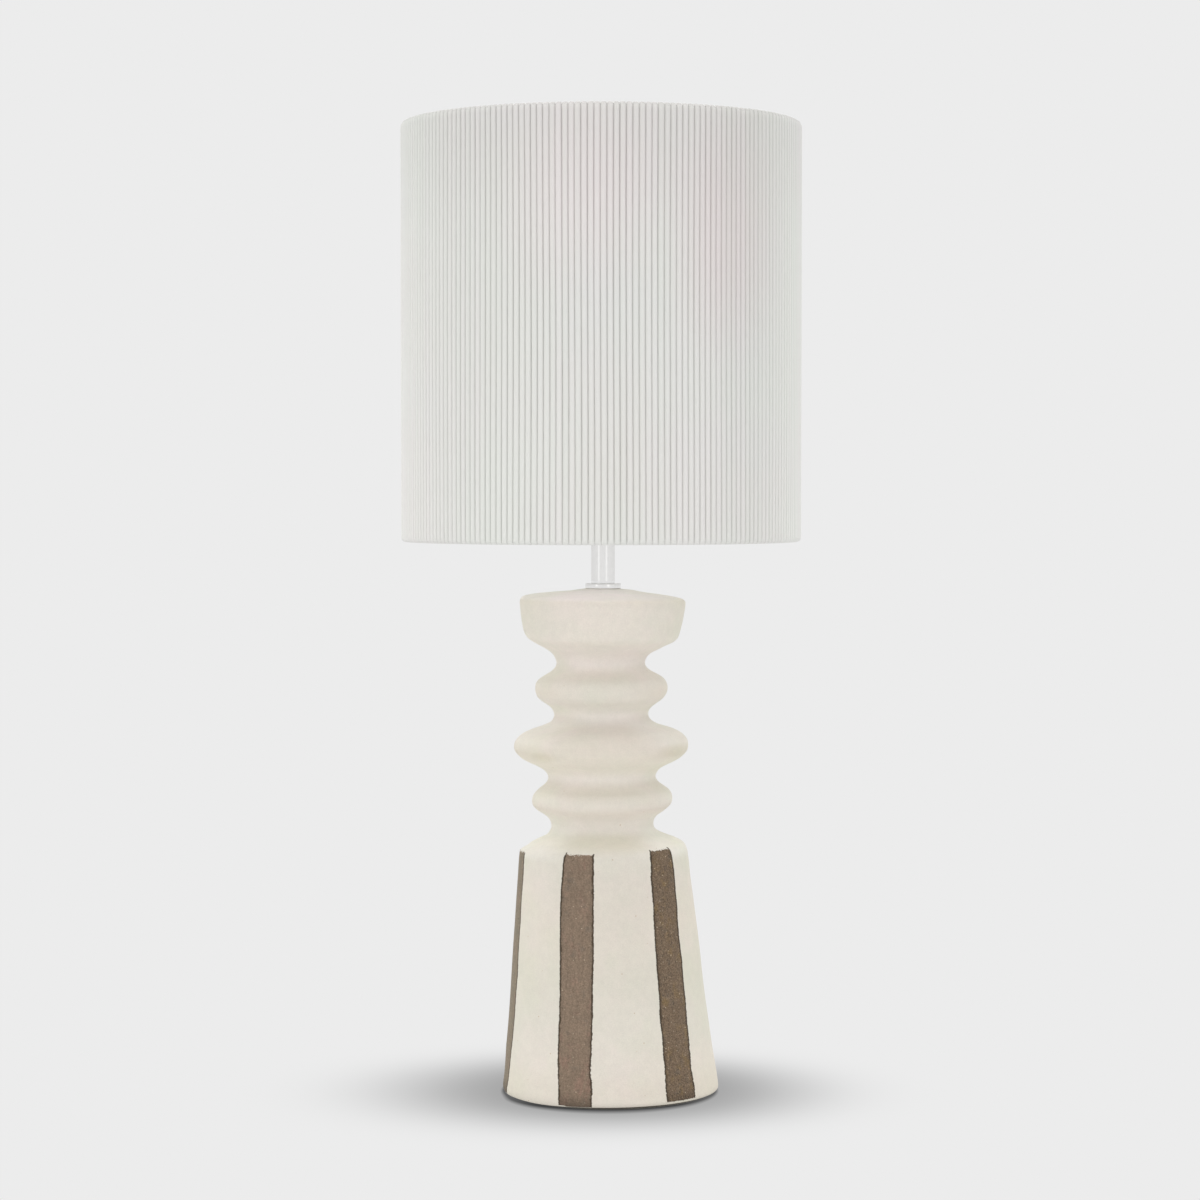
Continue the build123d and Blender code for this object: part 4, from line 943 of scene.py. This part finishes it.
# the shadow reaches furthest to the left, and least to the front
spread = t.add(t.add(1.0, t.mul(t.add(1.0, cos_a), 0.085)), t.mul(sin_2, 0.25))
far = t.mul(dist, spread)
# painted shadow round the foot: a ramp on the distance from the foot darkens the floor's glow, also in the light it
# gives back
ramp = t.node("ShaderNodeValToRGB")
ramp.color_ramp.interpolation = "B_SPLINE"
stops = [(0.0, 0.42), (0.07, 0.43), (0.13, 0.458), (0.24, 0.553), (0.345, 0.683), (0.46, 0.826), (0.57, 0.928),
         (0.68, 0.980), (0.80, 0.998), (0.92, 1.0)]
el = ramp.color_ramp.elements
while len(el) > 1:
    el.remove(el[0])
el[0].position, el[0].color = stops[0][0], (stops[0][1],) * 3 + (1,)
for pos, v in stops[1:]:
    e = el.new(pos)
    e.color = (v, v, v, 1)
t.put(ramp.inputs[0], t.step(far, -0.04, 0.26, 0.0, 1.0, smooth=False))
front_left = t.math("MAXIMUM", t.vec("DOT_PRODUCT", rel, (-0.69, -0.72, 0.0)), 0.0)
front_left = t.math("POWER", t.math("DIVIDE", front_left, length), 10.0)
# painted contact shadow along the foot's edge
contact = t.step(t.math("DIVIDE", t.mul(t.add(t.sub(dist, t.mul(front_left, 0.003)), t.step(cos_a, -0.85, -0.99, 0.0, 0.0022)), 1000.0), t.add(2.2, t.mul(sin_2, 12.0))), -0.25, 1.0, 0.0, 1.0, smooth=False)
contact = t.lerp(contact, t.step(t.math("ABSOLUTE", cos_a), 0.62, 1.0, 0.15, 0.34), 1.0)
contact = t.mul(contact, t.step(dist, -0.012, -0.003, 0.35, 1.0))
seen = t.mul(ramp.outputs[0], contact)
lp = t.node("ShaderNodeLightPath")
em = t.node("ShaderNodeEmission")
bounce = t.lerp(0.40, ramp.outputs[0], 1.0)
bounce = t.mul(bounce, t.add(BOUNCE, t.step(length, 0.25, 1.2, BOUNCE_NEAR, 0.0)))
glow = t.lerp(lp.outputs["Is Camera Ray"], bounce, t.mul(seen, PALE))
t.put(em.inputs["Color"], (1.0, 1.0, 1.0))
t.put(em.inputs["Strength"], glow)
tr = t.node("ShaderNodeBsdfTransparent")
mixs = t.node("ShaderNodeMixShader")
geo = t.node("ShaderNodeNewGeometry")
t.put(mixs.inputs[0], geo.outputs["Backfacing"])
t.t.links.new(em.outputs[0], mixs.inputs[1])
t.t.links.new(tr.outputs[0], mixs.inputs[2])
t.t.links.new(mixs.outputs[0], out.inputs[0])
me.materials.append(fm)

world = bpy.data.worlds.new("soft_studio")
world.use_nodes = True
bpy.context.scene.world = world
t = Tree(world.node_tree)
out = t.node("ShaderNodeOutputWorld")
tc = t.node("ShaderNodeTexCoord")
d = tc.outputs["Generated"]
dx, dy, dz = t.split(d)
flat = t.math("SQRT", t.add(t.mul(dx, dx), t.add(t.mul(dy, dy), 1e-6)))
hx, hy = t.math("DIVIDE", dx, flat), t.math("DIVIDE", dy, flat)
left = t.math("MAXIMUM", t.vec("DOT_PRODUCT", d, (-0.78, -0.20, 0.59)), 0.0)
right = t.math("MAXIMUM", t.vec("DOT_PRODUCT", d, (0.78, -0.20, 0.59)), 0.0)
front = t.math("MAXIMUM", t.mul(dy, -1.0), 0.0)
back = t.math("MAXIMUM", dy, 0.0)
above = t.math("MAXIMUM", dz, 0.0)
level = t.add(UNI, t.mul(left, LEFT))
level = t.add(level, t.mul(right, RIGHT))
level = t.add(level, t.mul(above, ABOVE))
level = t.add(level, t.mul(t.mul(front, t.step(t.math("ABSOLUTE", dz), 0.0, 0.4, 1.0, 0.0)), FRONT_LOW))
level = t.add(level, t.mul(t.mul(front, t.step(dz, 0.25, 0.70)), FRONT_HIGH))
level = t.add(level, t.mul(back, BACK))
level = t.add(level, t.mul(t.step(dz, 0.90, 0.97), ZENITH))
# reflections see an even, pale studio with two soft upright strips
shine = t.add(0.835, t.mul(hy, -0.045))
for az, gain in BANDS:
    a = math.radians(az)
    near = t.add(t.mul(hx, math.sin(a)), t.mul(hy, -math.cos(a)))
    band = t.step(near, math.cos(math.radians(11.0)), math.cos(math.radians(3.0)))
    band = t.mul(band, t.step(t.math("ABSOLUTE", dz), 0.62, 0.40))
    shine = t.add(shine, t.mul(band, gain))
lp = t.node("ShaderNodeLightPath")
level = t.lerp(lp.outputs["Is Glossy Ray"], level, shine)
bg = t.node("ShaderNodeBackground")
t.put(bg.inputs["Color"], (1.0, 0.995, 0.985))
t.put(bg.inputs["Strength"], level)
bg_cam = t.node("ShaderNodeBackground")
t.put(bg_cam.inputs["Color"], (1.0, 1.0, 1.0))
t.put(bg_cam.inputs["Strength"], PALE)
mixs = t.node("ShaderNodeMixShader")
t.put(mixs.inputs[0], lp.outputs["Is Camera Ray"])
t.t.links.new(bg.outputs[0], mixs.inputs[1])
t.t.links.new(bg_cam.outputs[0], mixs.inputs[2])
t.t.links.new(mixs.outputs[0], out.inputs[0])

for o in (ceramic, felt, shade):
    print(o.name, "triangles", sum(len(p.vertices) - 2 for p in o.data.polygons))
